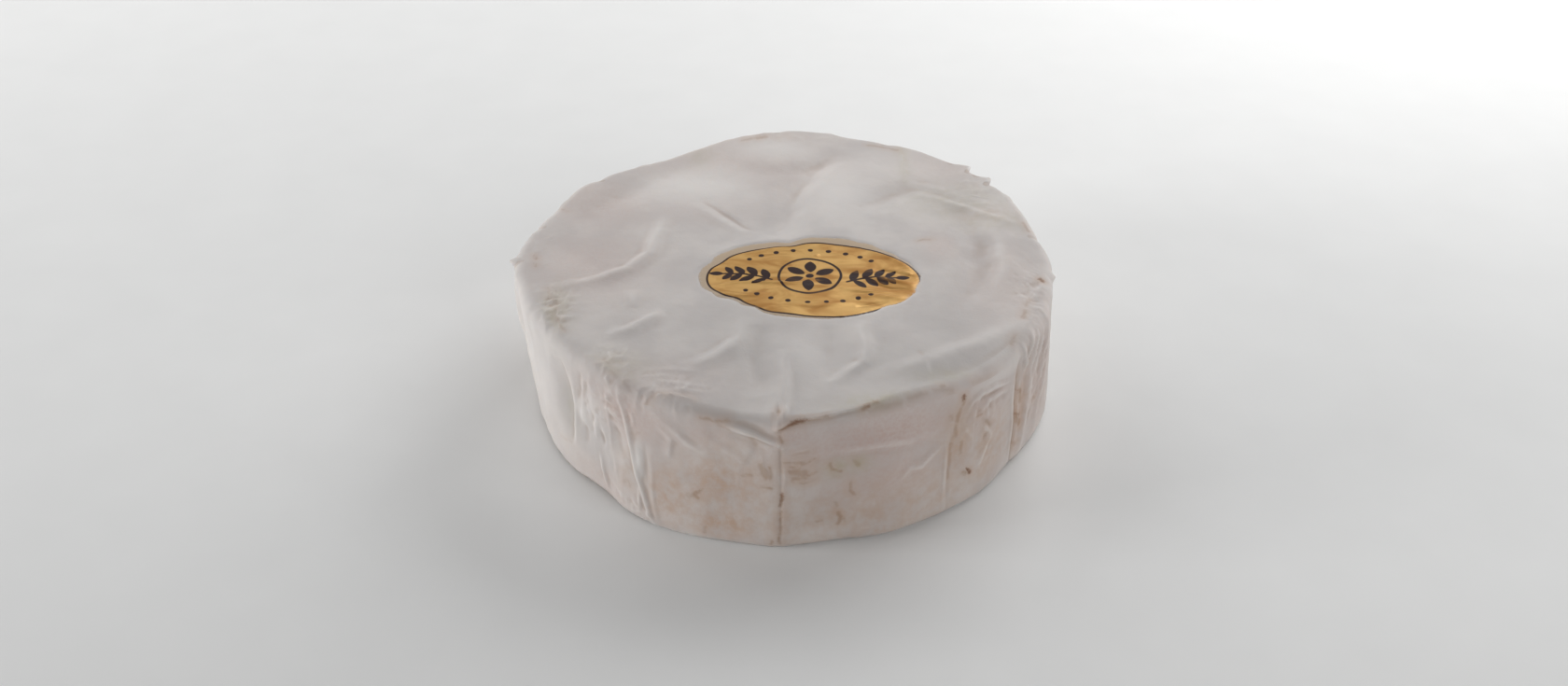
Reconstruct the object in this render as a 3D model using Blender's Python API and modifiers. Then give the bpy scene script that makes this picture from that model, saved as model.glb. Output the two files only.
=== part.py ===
"""A small soft-ripened cheese wheel with a bloomy rind, and an oval foil label stuck on its top.

Two solids: the wheel, one piece of cheese with its rind, and the label, which lies in a shallow seat that
the mould has grown up around. Metres, +Z up, the wheel stands on z = 0 with its axis near the origin.
The front of the wheel, where the rind has a straight seam, looks towards -Y.
"""

import bmesh
import bpy
import numpy as np

MM = 0.001

# The wheel, across and up, and the rounding of its two edges.
WHEEL_RADIUS = 83.5 * MM
WHEEL_HEIGHT = 47.0 * MM
TOP_EDGE_ROUND = 4.0 * MM
FOOT_EDGE_ROUND = 2.2 * MM
TOP_SINK = 0.6 * MM  # the middle of the top lies this much below the rim

# The label: its middle on the top, its size, and how it lies in the rind.
LABEL_MIDDLE = (6.2 * MM, -11.5 * MM)
LABEL_LENGTH = 70.5 * MM
LABEL_WIDTH = 47.5 * MM
LABEL_TURN = np.radians(-3.0)
LABEL_THICKNESS = 0.5 * MM
LABEL_GAP = 0.3 * MM
SEAT_DEPTH = 0.8 * MM
SEAT_SHOULDER = 1.8 * MM  # over this width the rind climbs out of the seat

# How fine the skin is modelled, and what is kept of it.
SKIN_STEPS = 320
TOP_RINGS = 70
EDGE_RINGS = 7
SIDE_RINGS = 40
WHEEL_TRIANGLES = 9800
LABEL_RINGS = 9
LABEL_SPOKES = 44

# The plan is a circle with flats and bulges. Each is (azimuth in degrees, how far in or out in mm, half
# width in degrees). Azimuth 0 is +X and 90 is the back.
TOP_PLAN = (
    (12, -2.2, 10), (40, 1.2, 14), (56, 2.1, 12), (68, 0.6, 12), (88, 3.4, 10), (121, -5.5, 18),
    (134, 0.9, 12), (147, 1.6, 6), (168, 0.8, 5), (176, 0.6, 5), (183, 2.6, 13), (222, -1.0, 9),
    (268, 0.6, 10), (300, -0.8, 12), (340, 0.2, 9), (343.5, -1.3, 3), (351, -1.2, 4), (356, -1.0, 3),
)  # fmt: skip
FOOT_PLAN = (
    (20, -1.4, 14), (60, 0.6, 12), (90, 1.0, 10), (122, -3.2, 17), (165, 0.6, 12), (189, -1.1, 5),
    (200, -2.0, 11), (211, -0.4, 3), (217, -1.0, 6), (221.5, -0.5, 3), (226, -1.9, 6), (230, -0.6, 4),
    (247, 1.7, 14), (265, 0.8, 5), (268, 0.6, 3), (272, 0.5, 5), (279, -0.6, 6), (289, 0.5, 5),
    (308, -0.3, 4), (324.5, -1.8, 7), (335, -0.5, 6), (349, 0.6, 9),
)  # fmt: skip

# Soft folds in the rind of the top: (path of x, y in mm; half width in mm to the path's left, then to its
# right; rise in mm). A fall is negative, and each fold dies away towards its two ends.
TOP_FOLDS = (
    (((-41, 26), (-43, 12), (-44, 2), (-50, -7), (-60, -14), (-74, -19)), 3.0, 2.2, 1.0),
    (((-37, -31), (-42, -35), (-47, -41), (-54, -46)), 2.6, 2.0, 0.9),
    (((-48, -19), (-47, -29)), 2.4, 2.2, 0.5),
    (((-33, 34), (-22, 24), (-13, 14)), 2.6, 1.8, 0.5),
    (((-30, 37), (-20, 27), (-10, 15)), 1.4, 1.4, -0.6),
    (((16, 72), (8, 55), (2, 42), (-1, 28), (-6, 9)), 4.2, 5.5, -1.2),
    (((20, 66), (6, 58), (-14, 51)), 4.5, 4.5, -0.8),
    (((46, 52), (34, 40), (24, 28)), 4.6, 4.6, -1.0),
    (((40, 43), (54, 33), (76, 17)), 2.0, 2.6, 0.8),
    (((38, 52), (52, 42), (68, 30)), 2.4, 2.4, 0.5),
    (((54, 30), (60, 6), (58, -12), (48, -36)), 5.0, 5.0, -1.1),
    (((66, 22), (67, -4), (62, -26)), 5.0, 4.0, 0.8),
    (((-14, -34), (-15, -46), (-22, -54), (-32, -60)), 3.4, 2.6, 0.8),
    (((-9, -38), (-10, -54), (-7, -72)), 4.0, 4.0, -0.9),
    (((22, -34), (22, -50), (21, -58), (10, -68)), 2.6, 2.2, 1.0),
    (((12, -38), (11, -66)), 4.0, 4.0, -0.9),
    (((-1, -50), (-2, -68), (-3.5, -84)), 2.0, 2.6, 1.0),
    (((74, -34), (55, -48), (42, -56), (22, -66)), 4.0, 3.2, 0.9),
    (((70, -44), (54, -59), (36, -70)), 3.6, 3.6, -0.9),
    (((-68, 22), (-50, 46), (-30, 64)), 6.0, 6.0, -1.1),
)

# Folds in the rind of the side, where the wrapper pressed it: (path of azimuth in degrees, height in mm;
# half widths in mm as above, rise in mm).
SIDE_FOLDS = (
    (((186.5, 43), (187, 24)), 3.4, 3.4, 0.9),
    (((215.5, 41), (218.4, 28), (217.2, 11)), 1.4, 6.0, -2.2),
    (((219.4, 41), (220.0, 29), (218.9, 14)), 1.4, 1.2, 0.9),
    (((222.8, 43), (222.5, 32)), 0.9, 1.6, -0.7),
    (((224.3, 43), (223.7, 32)), 1.3, 1.0, 0.6),
    (((222.6, 31.5), (222.9, 23)), 2.0, 2.0, 0.8),
    (((223.6, 24), (222.8, 15)), 1.6, 1.6, -0.6),
    (((227.8, 31), (226.4, 21)), 1.2, 0.8, 0.7),
    (((227.4, 16), (228.6, 3)), 0.8, 0.8, 0.8),
    (((229.6, 35.2), (232, 35.8), (234.8, 34.6)), 0.8, 0.8, 0.6),
    (((231.2, 33), (233.6, 28), (234.8, 20)), 2.4, 2.2, -0.9),
    (((234.3, 47), (235, 41), (236, 35), (237.6, 25), (238.6, 18), (240.8, 7), (243, -4)), 1.1, 0.8, 1.3),
    (((238.4, 30), (239.2, 23), (239.2, 15)), 1.2, 1.2, 0.6),
    (((240.7, 31), (241, 16)), 1.1, 0.9, -0.5),
    (((241.9, 24), (242.1, 14), (243.2, 1)), 0.8, 0.8, 0.75),
    (((246.5, 33), (246.1, 25)), 0.7, 1.8, 0.6),
    (((241, 43), (247, 37.6), (251, 34.2), (257, 32)), 1.8, 2.6, 0.8),
    (((252, 39.5), (257, 35), (262, 31)), 1.8, 2.2, 0.5),
    (((257, 43.4), (260, 43), (263.7, 41.9), (267.7, 38.9), (269.3, 36)), 1.1, 0.9, 1.4),
    (((258, 40.5), (263, 38.6), (266.5, 35)), 1.2, 1.6, -0.5),
    (((268.2, 56), (268.2, -8)), 0.7, 0.7, -0.6),
    (((272, 33.6), (279.6, 33.8), (287, 33.6), (294, 32), (299.4, 32), (302.6, 35)), 3.0, 0.9, 0.9),
    (((291.6, 18.6), (294.3, 22.8), (297, 22.4), (299.2, 24.8), (302.4, 27.6)), 0.9, 1.4, 0.8),
    (((302.7, 30), (302.7, 4)), 0.6, 0.7, 0.4),
    (((303.7, 33), (303.8, 0)), 3.0, 0.6, -0.6),
    (((307.4, 35), (308.7, 38), (310.8, 39.4), (315, 39.4), (322, 36.4)), 0.9, 1.1, 0.9),
    (((311.2, 30.5), (311.9, 33.8), (313.4, 35.4), (317, 35.4), (322.6, 33.4)), 1.3, 0.9, 0.9),
    (((316, 24), (313.1, 16.2), (311.6, 11)), 0.8, 1.0, 0.5),
    (((323.3, 46), (323.6, 38), (324.2, 30), (324.9, 22), (325.4, 12), (325.4, -6)), 1.3, 0.7, -1.1),
    (((322.4, 35), (323.2, 26), (324, 12), (324.8, 2)), 0.7, 0.7, 0.5),
    (((329.5, 48), (329.8, 24), (329, -4)), 1.6, 1.6, 0.7),
    (((338, 48), (336, 2)), 1.8, 2.0, 0.6),
    (((346.5, 48), (348, 0)), 2.6, 2.6, -0.9),
    (((352, 50), (353, -2)), 2.0, 2.0, 0.4),
)

# Round the back the same wrapper left plain pleats: (azimuth in degrees, lean in degrees, rise in mm).
BACK_PLEATS = (
    (8, 2, -0.8), (27, 2, 0.8), (34, 1, -0.9), (47, -2, 1.0), (66, 0, -0.9), (79, 3, 0.8), (94, -2, -1.0),
    (105, 1, 0.4), (125, 2, 0.4), (132, -3, 0.6), (142, 1, -0.9), (154, 2, 0.4), (168, -2, -0.8),
    (179, 2, 0.6), (190, 1, -0.4), (201, -2, 0.3),
)  # fmt: skip
PLEAT_HALF_WIDTH = 2.1

# The white top skin ends over the front in a low lip: (azimuth in degrees, height in mm) along its edge.
LIP_EDGE = ((266.5, 42.4), (268.1, 43.4), (269.8, 44.6), (271.2, 45.3), (276, 45.5), (280, 46), (300, 47))
LIP_STEP = 1.2
LIP_RISE = 0.6

# Torn flakes of rind that stand out of the top edge, each drawn up to a point: (azimuth in degrees, reach
# in mm, how far it spreads anticlockwise and clockwise in mm, height in mm, half height in mm).
EDGE_FLAKES = (
    (44.0, 3.4, 5.0, 1.5, 47.0, 2.2),
    (36.6, 3.3, 4.6, 1.6, 47.0, 2.2),
    (180.5, 2.2, 1.6, 1.8, 45.6, 1.3),
    (355.5, 1.4, 3.6, 3.6, 44.5, 1.8),
)

# Long low swells of the whole top: (waves across the wheel along x, along y, phase, rise in mm).
TOP_SWELLS = ((1.3, 0.6, 0.4, 0.45), (-0.7, 1.7, 2.1, 0.4), (2.3, 1.9, 4.0, 0.25), (3.1, -1.2, 1.0, 0.2))


def clear_scene():
    for leftover in list(bpy.data.objects):
        bpy.data.objects.remove(leftover)


def new_collection(name):
    collection = bpy.data.collections.new(name)
    bpy.context.scene.collection.children.link(collection)
    return collection


def plain_material(name, colour, roughness, metallic=0.0):
    made = bpy.data.materials.new(name)
    made.use_nodes = True
    shader = made.node_tree.nodes["Principled BSDF"]
    shader.inputs["Base Color"].default_value = (*colour, 1.0)
    shader.inputs["Roughness"].default_value = roughness
    shader.inputs["Metallic"].default_value = metallic
    made.diffuse_color = (*colour, 1.0)
    return made


def smooth_step(value):
    value = np.clip(value, 0.0, 1.0)
    return value * value * (3.0 - 2.0 * value)


def hump(distance, half_width):
    return np.exp(-((distance / half_width) ** 2))


def fold(across, up, path, left, right):
    """A rounded fold along a path of straight stretches, 1 on its crest and 0 beside and past its ends."""
    stretches = list(zip(path, path[1:], strict=False))
    lengths = [np.hypot(end[0] - start[0], end[1] - start[1]) for start, end in stretches]
    nearest = np.full(np.shape(across), np.inf)
    along = np.zeros(np.shape(across))
    half_width = np.full(np.shape(across), left)
    passed = 0.0
    for (start, end), length in zip(stretches, lengths, strict=True):
        run_across = end[0] - start[0]
        run_up = end[1] - start[1]
        beside_across = across - start[0]
        beside_up = up - start[1]
        share = np.clip((beside_across * run_across + beside_up * run_up) / length**2, 0.0, 1.0)
        gap = np.hypot(beside_across - share * run_across, beside_up - share * run_up)
        closer = gap < nearest
        nearest = np.where(closer, gap, nearest)
        along = np.where(closer, (passed + share * length) / sum(lengths), along)
        on_left = run_across * beside_up > run_up * beside_across
        half_width = np.where(closer, np.where(on_left, left, right), half_width)
        passed += length
    return hump(nearest, half_width) * np.sin(np.pi * along) ** 0.8


def turn_between(azimuth, middle):
    """Degrees from middle to azimuth, from -180 to 180."""
    return (azimuth - middle + 180.0) % 360.0 - 180.0


def plan_offset(azimuth, plan):
    """How far the outline lies outside the plain circle, in metres."""
    offset = np.zeros(np.shape(azimuth))
    for middle, reach, half_width in plan:
        offset += reach * MM * hump(turn_between(azimuth, middle), half_width)
    return offset


def label_share(x, y):
    """0 at the label's middle and 1 along its edge."""
    along = (x - LABEL_MIDDLE[0]) * np.cos(LABEL_TURN) + (y - LABEL_MIDDLE[1]) * np.sin(LABEL_TURN)
    beside = (y - LABEL_MIDDLE[1]) * np.cos(LABEL_TURN) - (x - LABEL_MIDDLE[0]) * np.sin(LABEL_TURN)
    return np.hypot(along / (LABEL_LENGTH / 2.0), beside / (LABEL_WIDTH / 2.0))


def top_swell(x, y):
    """The low waves of the top, which run under the label too."""
    swell = np.zeros(np.shape(x))
    for waves_x, waves_y, phase, rise in TOP_SWELLS:
        swell += rise * MM * np.sin((waves_x * x + waves_y * y) * np.pi / WHEEL_RADIUS + phase)
    from_rim = np.clip(np.hypot(x, y) / WHEEL_RADIUS, 0.0, 1.0)
    return swell - TOP_SINK * (1.0 - from_rim**2)


def top_relief(x, y):
    """Rise of the rind over the flat top, in metres."""
    folds = np.zeros(np.shape(x))
    for path, left, right, rise in TOP_FOLDS:
        folds += rise * MM * fold(x / MM, y / MM, path, left, right)
    shoulder = SEAT_SHOULDER / (LABEL_WIDTH / 2.0)
    outside = smooth_step((label_share(x, y) - 1.03) / shoulder)
    return top_swell(x, y) + folds * outside - SEAT_DEPTH * (1.0 - outside)


def side_relief(azimuth, height):
    """How far the rind stands out of the plain side, in metres."""
    arc = np.pi / 180.0 * WHEEL_RADIUS / MM
    up = height / MM
    relief = np.zeros(np.shape(azimuth))
    for path, left, right, rise in SIDE_FOLDS:
        middle = path[0][0]
        beside = turn_between(azimuth, middle) * arc
        placed = [((turn - middle) * arc, level) for turn, level in path]
        relief += rise * fold(beside, up, placed, left, right)
    level = height / WHEEL_HEIGHT
    for middle, lean, rise in BACK_PLEATS:
        beside = turn_between(azimuth, middle + lean * (level - 0.5)) * arc
        relief += rise * (0.6 + 0.4 * level) * hump(beside, PLEAT_HALF_WIDTH)
    first, last = LIP_EDGE[0][0], LIP_EDGE[-1][0]
    edge = np.interp(azimuth, [turn for turn, _ in LIP_EDGE], [rise for _, rise in LIP_EDGE])
    within = smooth_step((azimuth - first) / 1.5) * smooth_step((last - azimuth) / 12.0)
    relief += LIP_STEP * within * smooth_step((up - edge) / LIP_RISE)
    for middle, reach, left, right, flake_height, half_height in EDGE_FLAKES:
        beside = turn_between(azimuth, middle) * arc
        share = np.where(beside > 0.0, beside / left, -beside / right)
        relief += reach * np.clip(1.0 - share, 0.0, 1.0) ** 1.3 * hump(up - flake_height, half_height)
    return relief * MM


def turned_skin(collection):
    """The plain wheel as an open skin: a profile turned by a Screw modifier, top middle to foot."""
    top = [(radius, WHEEL_HEIGHT) for radius in np.linspace(0.0, WHEEL_RADIUS - TOP_EDGE_ROUND, TOP_RINGS)]
    quarter = np.linspace(0.0, np.pi / 2.0, EDGE_RINGS)[1:]
    top_edge = [
        (
            WHEEL_RADIUS - TOP_EDGE_ROUND * (1.0 - np.sin(turn)),
            WHEEL_HEIGHT - TOP_EDGE_ROUND * (1.0 - np.cos(turn)),
        )
        for turn in quarter
    ]
    levels = np.linspace(WHEEL_HEIGHT - TOP_EDGE_ROUND, FOOT_EDGE_ROUND, SIDE_RINGS)[1:]
    side = [(WHEEL_RADIUS, level) for level in levels]
    foot = [
        (
            WHEEL_RADIUS - FOOT_EDGE_ROUND * (1.0 - np.cos(turn)),
            FOOT_EDGE_ROUND * (1.0 - np.sin(turn)),
        )
        for turn in quarter
    ]
    profile = top + top_edge + side + foot
    mesh = bpy.data.meshes.new("wheel_profile")
    edges = [(index, index + 1) for index in range(len(profile) - 1)]
    mesh.from_pydata([(radius, 0.0, level) for radius, level in profile], edges, [])
    skin = bpy.data.objects.new("wheel_profile", mesh)
    collection.objects.link(skin)
    turning = skin.modifiers.new("turning", "SCREW")
    turning.steps = turning.render_steps = SKIN_STEPS
    turning.use_merge_vertices = True
    turning.merge_threshold = 0.01 * MM
    return skin


def evaluated_mesh(thing):
    graph = bpy.context.evaluated_depsgraph_get()
    return bpy.data.meshes.new_from_object(thing.evaluated_get(graph), depsgraph=graph)


def read_points(mesh):
    flat = np.empty(len(mesh.vertices) * 3, np.float32)
    mesh.vertices.foreach_get("co", flat)
    return flat.reshape(-1, 3).astype(float)


def write_points(mesh, points):
    mesh.vertices.foreach_set("co", points.astype(np.float32).ravel())
    mesh.update()


def shaped(points):
    """Gives the plain turned wheel its real plan, the folds of its rind and the seat of the label."""
    x, y, z = points.T
    radius = np.hypot(x, y)
    azimuth = np.degrees(np.arctan2(y, x)) % 360.0
    level = np.clip(z / WHEEL_HEIGHT, 0.0, 1.0)
    offset = level * plan_offset(azimuth, TOP_PLAN) + (1.0 - level) * plan_offset(azimuth, FOOT_PLAN)
    near_rim = smooth_step((radius / WHEEL_RADIUS - 0.15) / 0.85)
    on_side = smooth_step((radius - (WHEEL_RADIUS - 2.0 * TOP_EDGE_ROUND)) / TOP_EDGE_ROUND)
    radius_now = radius + offset * near_rim + side_relief(azimuth, z) * on_side
    scale = radius_now / np.maximum(radius, 1e-9)
    x = x * scale
    y = y * scale
    near_top = smooth_step((level - 0.5) / 0.5)
    z = z + top_relief(x, y) * near_top
    return np.stack([x, y, z], axis=1)


def close_base(mesh):
    """Levels the open foot and closes it with one flat face, which the wheel stands on."""
    shell = bmesh.new()
    shell.from_mesh(mesh)
    rim = [edge for edge in shell.edges if edge.is_boundary]
    for point in {point for edge in rim for point in edge.verts}:
        point.co.z = 0.0
    bmesh.ops.edgeloop_fill(shell, edges=rim)
    bmesh.ops.triangulate(shell, faces=[face for face in shell.faces if len(face.verts) > 3])
    bmesh.ops.recalc_face_normals(shell, faces=shell.faces)
    shell.to_mesh(mesh)
    shell.free()


def cheese_wheel(collection):
    skin = turned_skin(collection)
    fine = evaluated_mesh(skin)
    bpy.data.objects.remove(skin)
    write_points(fine, shaped(read_points(fine)))
    wheel = bpy.data.objects.new("cheese_wheel", fine)
    collection.objects.link(wheel)
    thinning = wheel.modifiers.new("thinning", "DECIMATE")
    fine.calc_loop_triangles()
    thinning.ratio = WHEEL_TRIANGLES / len(fine.loop_triangles)
    kept = evaluated_mesh(wheel)
    wheel.modifiers.clear()
    wheel.data = kept
    close_base(kept)
    kept.shade_smooth()
    kept.set_sharp_from_angle(angle=np.radians(50.0))
    kept.materials.clear()
    kept.materials.append(plain_material("bloomy_rind", (0.62, 0.57, 0.53), 0.8))
    return wheel


def foil_label(collection):
    """An oval sheet that follows the swell of the seat, thickened upwards."""
    mesh = bpy.data.meshes.new("foil_label")
    sheet = bmesh.new()
    middle = sheet.verts.new((*LABEL_MIDDLE, 0.0))
    rings = []
    for ring in range(1, LABEL_RINGS + 1):
        share = ring / LABEL_RINGS
        spokes = []
        for turn in np.linspace(0.0, 2.0 * np.pi, LABEL_SPOKES, endpoint=False):
            along = share * LABEL_LENGTH / 2.0 * np.cos(turn)
            beside = share * LABEL_WIDTH / 2.0 * np.sin(turn)
            x = LABEL_MIDDLE[0] + along * np.cos(LABEL_TURN) - beside * np.sin(LABEL_TURN)
            y = LABEL_MIDDLE[1] + along * np.sin(LABEL_TURN) + beside * np.cos(LABEL_TURN)
            spokes.append(sheet.verts.new((x, y, 0.0)))
        rings.append(spokes)
    for spoke in range(LABEL_SPOKES):
        following = (spoke + 1) % LABEL_SPOKES
        sheet.faces.new((middle, rings[0][spoke], rings[0][following]))
        for inner, outer in zip(rings, rings[1:], strict=False):
            sheet.faces.new((inner[spoke], outer[spoke], outer[following], inner[following]))
    sheet.to_mesh(mesh)
    sheet.free()
    points = read_points(mesh)
    floor = WHEEL_HEIGHT - SEAT_DEPTH + top_swell(points[:, 0], points[:, 1])
    points[:, 2] = floor + LABEL_GAP
    write_points(mesh, points)
    label = bpy.data.objects.new("foil_label", mesh)
    collection.objects.link(label)
    thickness = label.modifiers.new("thickness", "SOLIDIFY")
    thickness.thickness = LABEL_THICKNESS
    thickness.offset = 1.0
    mesh.materials.append(plain_material("gold_foil", (0.62, 0.36, 0.11), 0.35, 0.9))
    return label


def stand_on_origin(things):
    """Moves the whole object so that the middle of the wheel's box stands over the origin."""
    points = read_points(things[0].data)
    middle = (points.min(axis=0) + points.max(axis=0)) / 2.0
    for thing in things:
        moved = read_points(thing.data)
        moved[:, :2] -= middle[:2]
        write_points(thing.data, moved)


def build():
    clear_scene()
    collection = new_collection("cheese_wheel")
    wheel = cheese_wheel(collection)
    label = foil_label(collection)
    stand_on_origin([wheel, label])


build()
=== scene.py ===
import bpy
import numpy as np
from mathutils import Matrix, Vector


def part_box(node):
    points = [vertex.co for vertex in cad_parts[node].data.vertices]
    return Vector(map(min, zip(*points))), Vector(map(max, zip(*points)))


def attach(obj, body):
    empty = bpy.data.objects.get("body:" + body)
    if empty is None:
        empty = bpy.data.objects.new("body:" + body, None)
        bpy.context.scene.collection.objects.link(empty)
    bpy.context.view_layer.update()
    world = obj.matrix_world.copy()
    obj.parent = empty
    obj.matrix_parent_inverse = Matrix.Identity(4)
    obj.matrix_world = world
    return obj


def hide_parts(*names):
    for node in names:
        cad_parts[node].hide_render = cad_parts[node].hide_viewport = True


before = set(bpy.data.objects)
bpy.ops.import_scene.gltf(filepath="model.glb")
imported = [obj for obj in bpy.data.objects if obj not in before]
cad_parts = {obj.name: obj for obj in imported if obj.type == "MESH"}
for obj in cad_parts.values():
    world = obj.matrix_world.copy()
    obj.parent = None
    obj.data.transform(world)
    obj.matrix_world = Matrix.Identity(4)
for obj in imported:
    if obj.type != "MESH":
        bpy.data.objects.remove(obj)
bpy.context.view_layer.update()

# The wheel: one round of soft cheese under a white bloomy rind. It ripened in a paper wrapper, which pressed
# the pleats of its side, the seam down its front and the lip where the top skin was folded over the side.
# It is one solid piece and stands on its own flat foot. Lengths are in millimetres, azimuth 0 is +X.
MM = 0.001
WHEEL_RADIUS = 83.5
WHEEL_HEIGHT = 47.0
TOP_EDGE_ROUND = 4.0
FOOT_EDGE_ROUND = 2.2
FOOT_CALM = 1.5
TOP_SINK = 0.6
LABEL_MIDDLE = np.array((6.2, -11.5))
LABEL_HALF = np.array((35.25, 23.75))
LABEL_TURN = np.radians(-3.0)
SEAT_DEPTH = 0.8

# The plan is a circle with flats and bulges: (azimuth in degrees, out or in, half width in degrees).
TOP_PLAN = (
    (12, -2.2, 10), (40, 1.2, 14), (56, 2.1, 12), (68, 0.6, 12), (88, 3.4, 10), (121, -5.5, 18),
    (134, 0.9, 12), (147, 1.6, 6), (168, 0.8, 5), (176, 0.6, 5), (183, 2.6, 13), (222, -1.0, 9),
    (268, 0.6, 10), (300, -0.8, 12), (340, 0.2, 9), (343.5, -1.3, 3), (351, -1.2, 4), (356, -1.0, 3),
)  # fmt: skip
FOOT_PLAN = (
    (20, -1.4, 14), (60, 0.6, 12), (90, 1.0, 10), (122, -3.2, 17), (165, 0.6, 12), (189, -1.1, 5),
    (200, -2.0, 11), (211, -0.4, 3), (217, -1.0, 6), (221.5, -0.5, 3), (226, -1.9, 6), (230, -0.6, 4),
    (247, 1.7, 14), (265, 0.8, 5), (268, 0.6, 3), (272, 0.5, 5), (279, -0.6, 6), (289, 0.5, 5),
    (308, -0.3, 4), (324.5, -1.8, 7), (335, -0.5, 6), (349, 0.6, 9),
)  # fmt: skip

# Soft folds of the top skin: (path of x, y; half width to the path's left, to its right; rise).
TOP_FOLDS = (
    (((-41, 26), (-43, 12), (-44, 2), (-50, -7), (-60, -14), (-74, -19)), 3.0, 2.2, 1.25),
    (((-37, -31), (-42, -35), (-47, -41), (-54, -46)), 2.6, 2.0, 1.12),
    (((-48, -19), (-47, -29)), 2.4, 2.2, 0.62),
    (((-33, 34), (-22, 24), (-13, 14)), 2.6, 1.8, 0.5),
    (((-30, 37), (-20, 27), (-10, 15)), 1.4, 1.4, -0.4),
    (((16, 72), (8, 55), (2, 42), (-1, 28), (-6, 9)), 4.2, 5.5, -1.5),
    (((20, 66), (6, 58), (-14, 51)), 4.5, 4.5, -0.7),
    (((46, 52), (34, 40), (24, 28)), 4.6, 4.6, -1.25),
    (((40, 43), (54, 33), (76, 17)), 2.0, 2.6, 0.75),
    (((38, 52), (52, 42), (68, 30)), 2.4, 2.4, 0.45),
    (((38.6, 75), (39.6, 62), (40, 49)), 0.8, 0.8, 0.25),
    (((41.4, 73), (41.8, 52)), 0.7, 0.7, 0.2),
    (((54, 30), (60, 6), (58, -12), (48, -36)), 5.0, 5.0, -1.38),
    (((66, 22), (67, -4), (62, -26)), 5.0, 4.0, 1),
    (((-14, -34), (-15, -46), (-22, -54), (-32, -60)), 3.4, 2.6, 1),
    (((-9, -38), (-10, -54), (-7, -72)), 4.0, 4.0, -1.12),
    (((22, -34), (22, -50), (21, -58), (10, -68)), 2.6, 2.2, 1.25),
    (((12, -38), (11, -66)), 4.0, 4.0, -1.12),
    (((-1, -50), (-2, -68), (-3.5, -84)), 2.0, 2.6, 1.25),
    (((74, -34), (55, -48), (42, -56), (22, -66)), 4.0, 3.2, 1.12),
    (((70, -44), (54, -59), (36, -70)), 3.6, 3.6, -1.12),
    (((-68, 22), (-50, 46), (-30, 64)), 6.0, 6.0, -1.1),
    (((-41, -74.5), (-36.5, -73), (-32, -73.6), (-25, -75.4)), 0.7, 0.9, 0.5),
    (((-38, -66), (-30.4, -67.6), (-23, -69)), 0.7, 1.0, 0.4),
    (((-42, -61.5), (-33.5, -60.2), (-25, -61.4)), 0.7, 1.0, 0.3),
    (((-38, -71), (-30, -70.4), (-22, -71.8)), 0.6, 0.8, 0.4),
    (((-43, -64.6), (-36, -63.6), (-29, -64.4)), 0.6, 0.8, 0.35),
    (((-1.2, -77), (-1.6, -84)), 0.9, 0.7, 0.5),
    (((-3.2, -76), (-3.4, -84)), 0.6, 0.6, -0.4),
    (((-30, -80), (-16, -81), (-3, -82)), 6.0, 6.0, -0.7),
)

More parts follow.
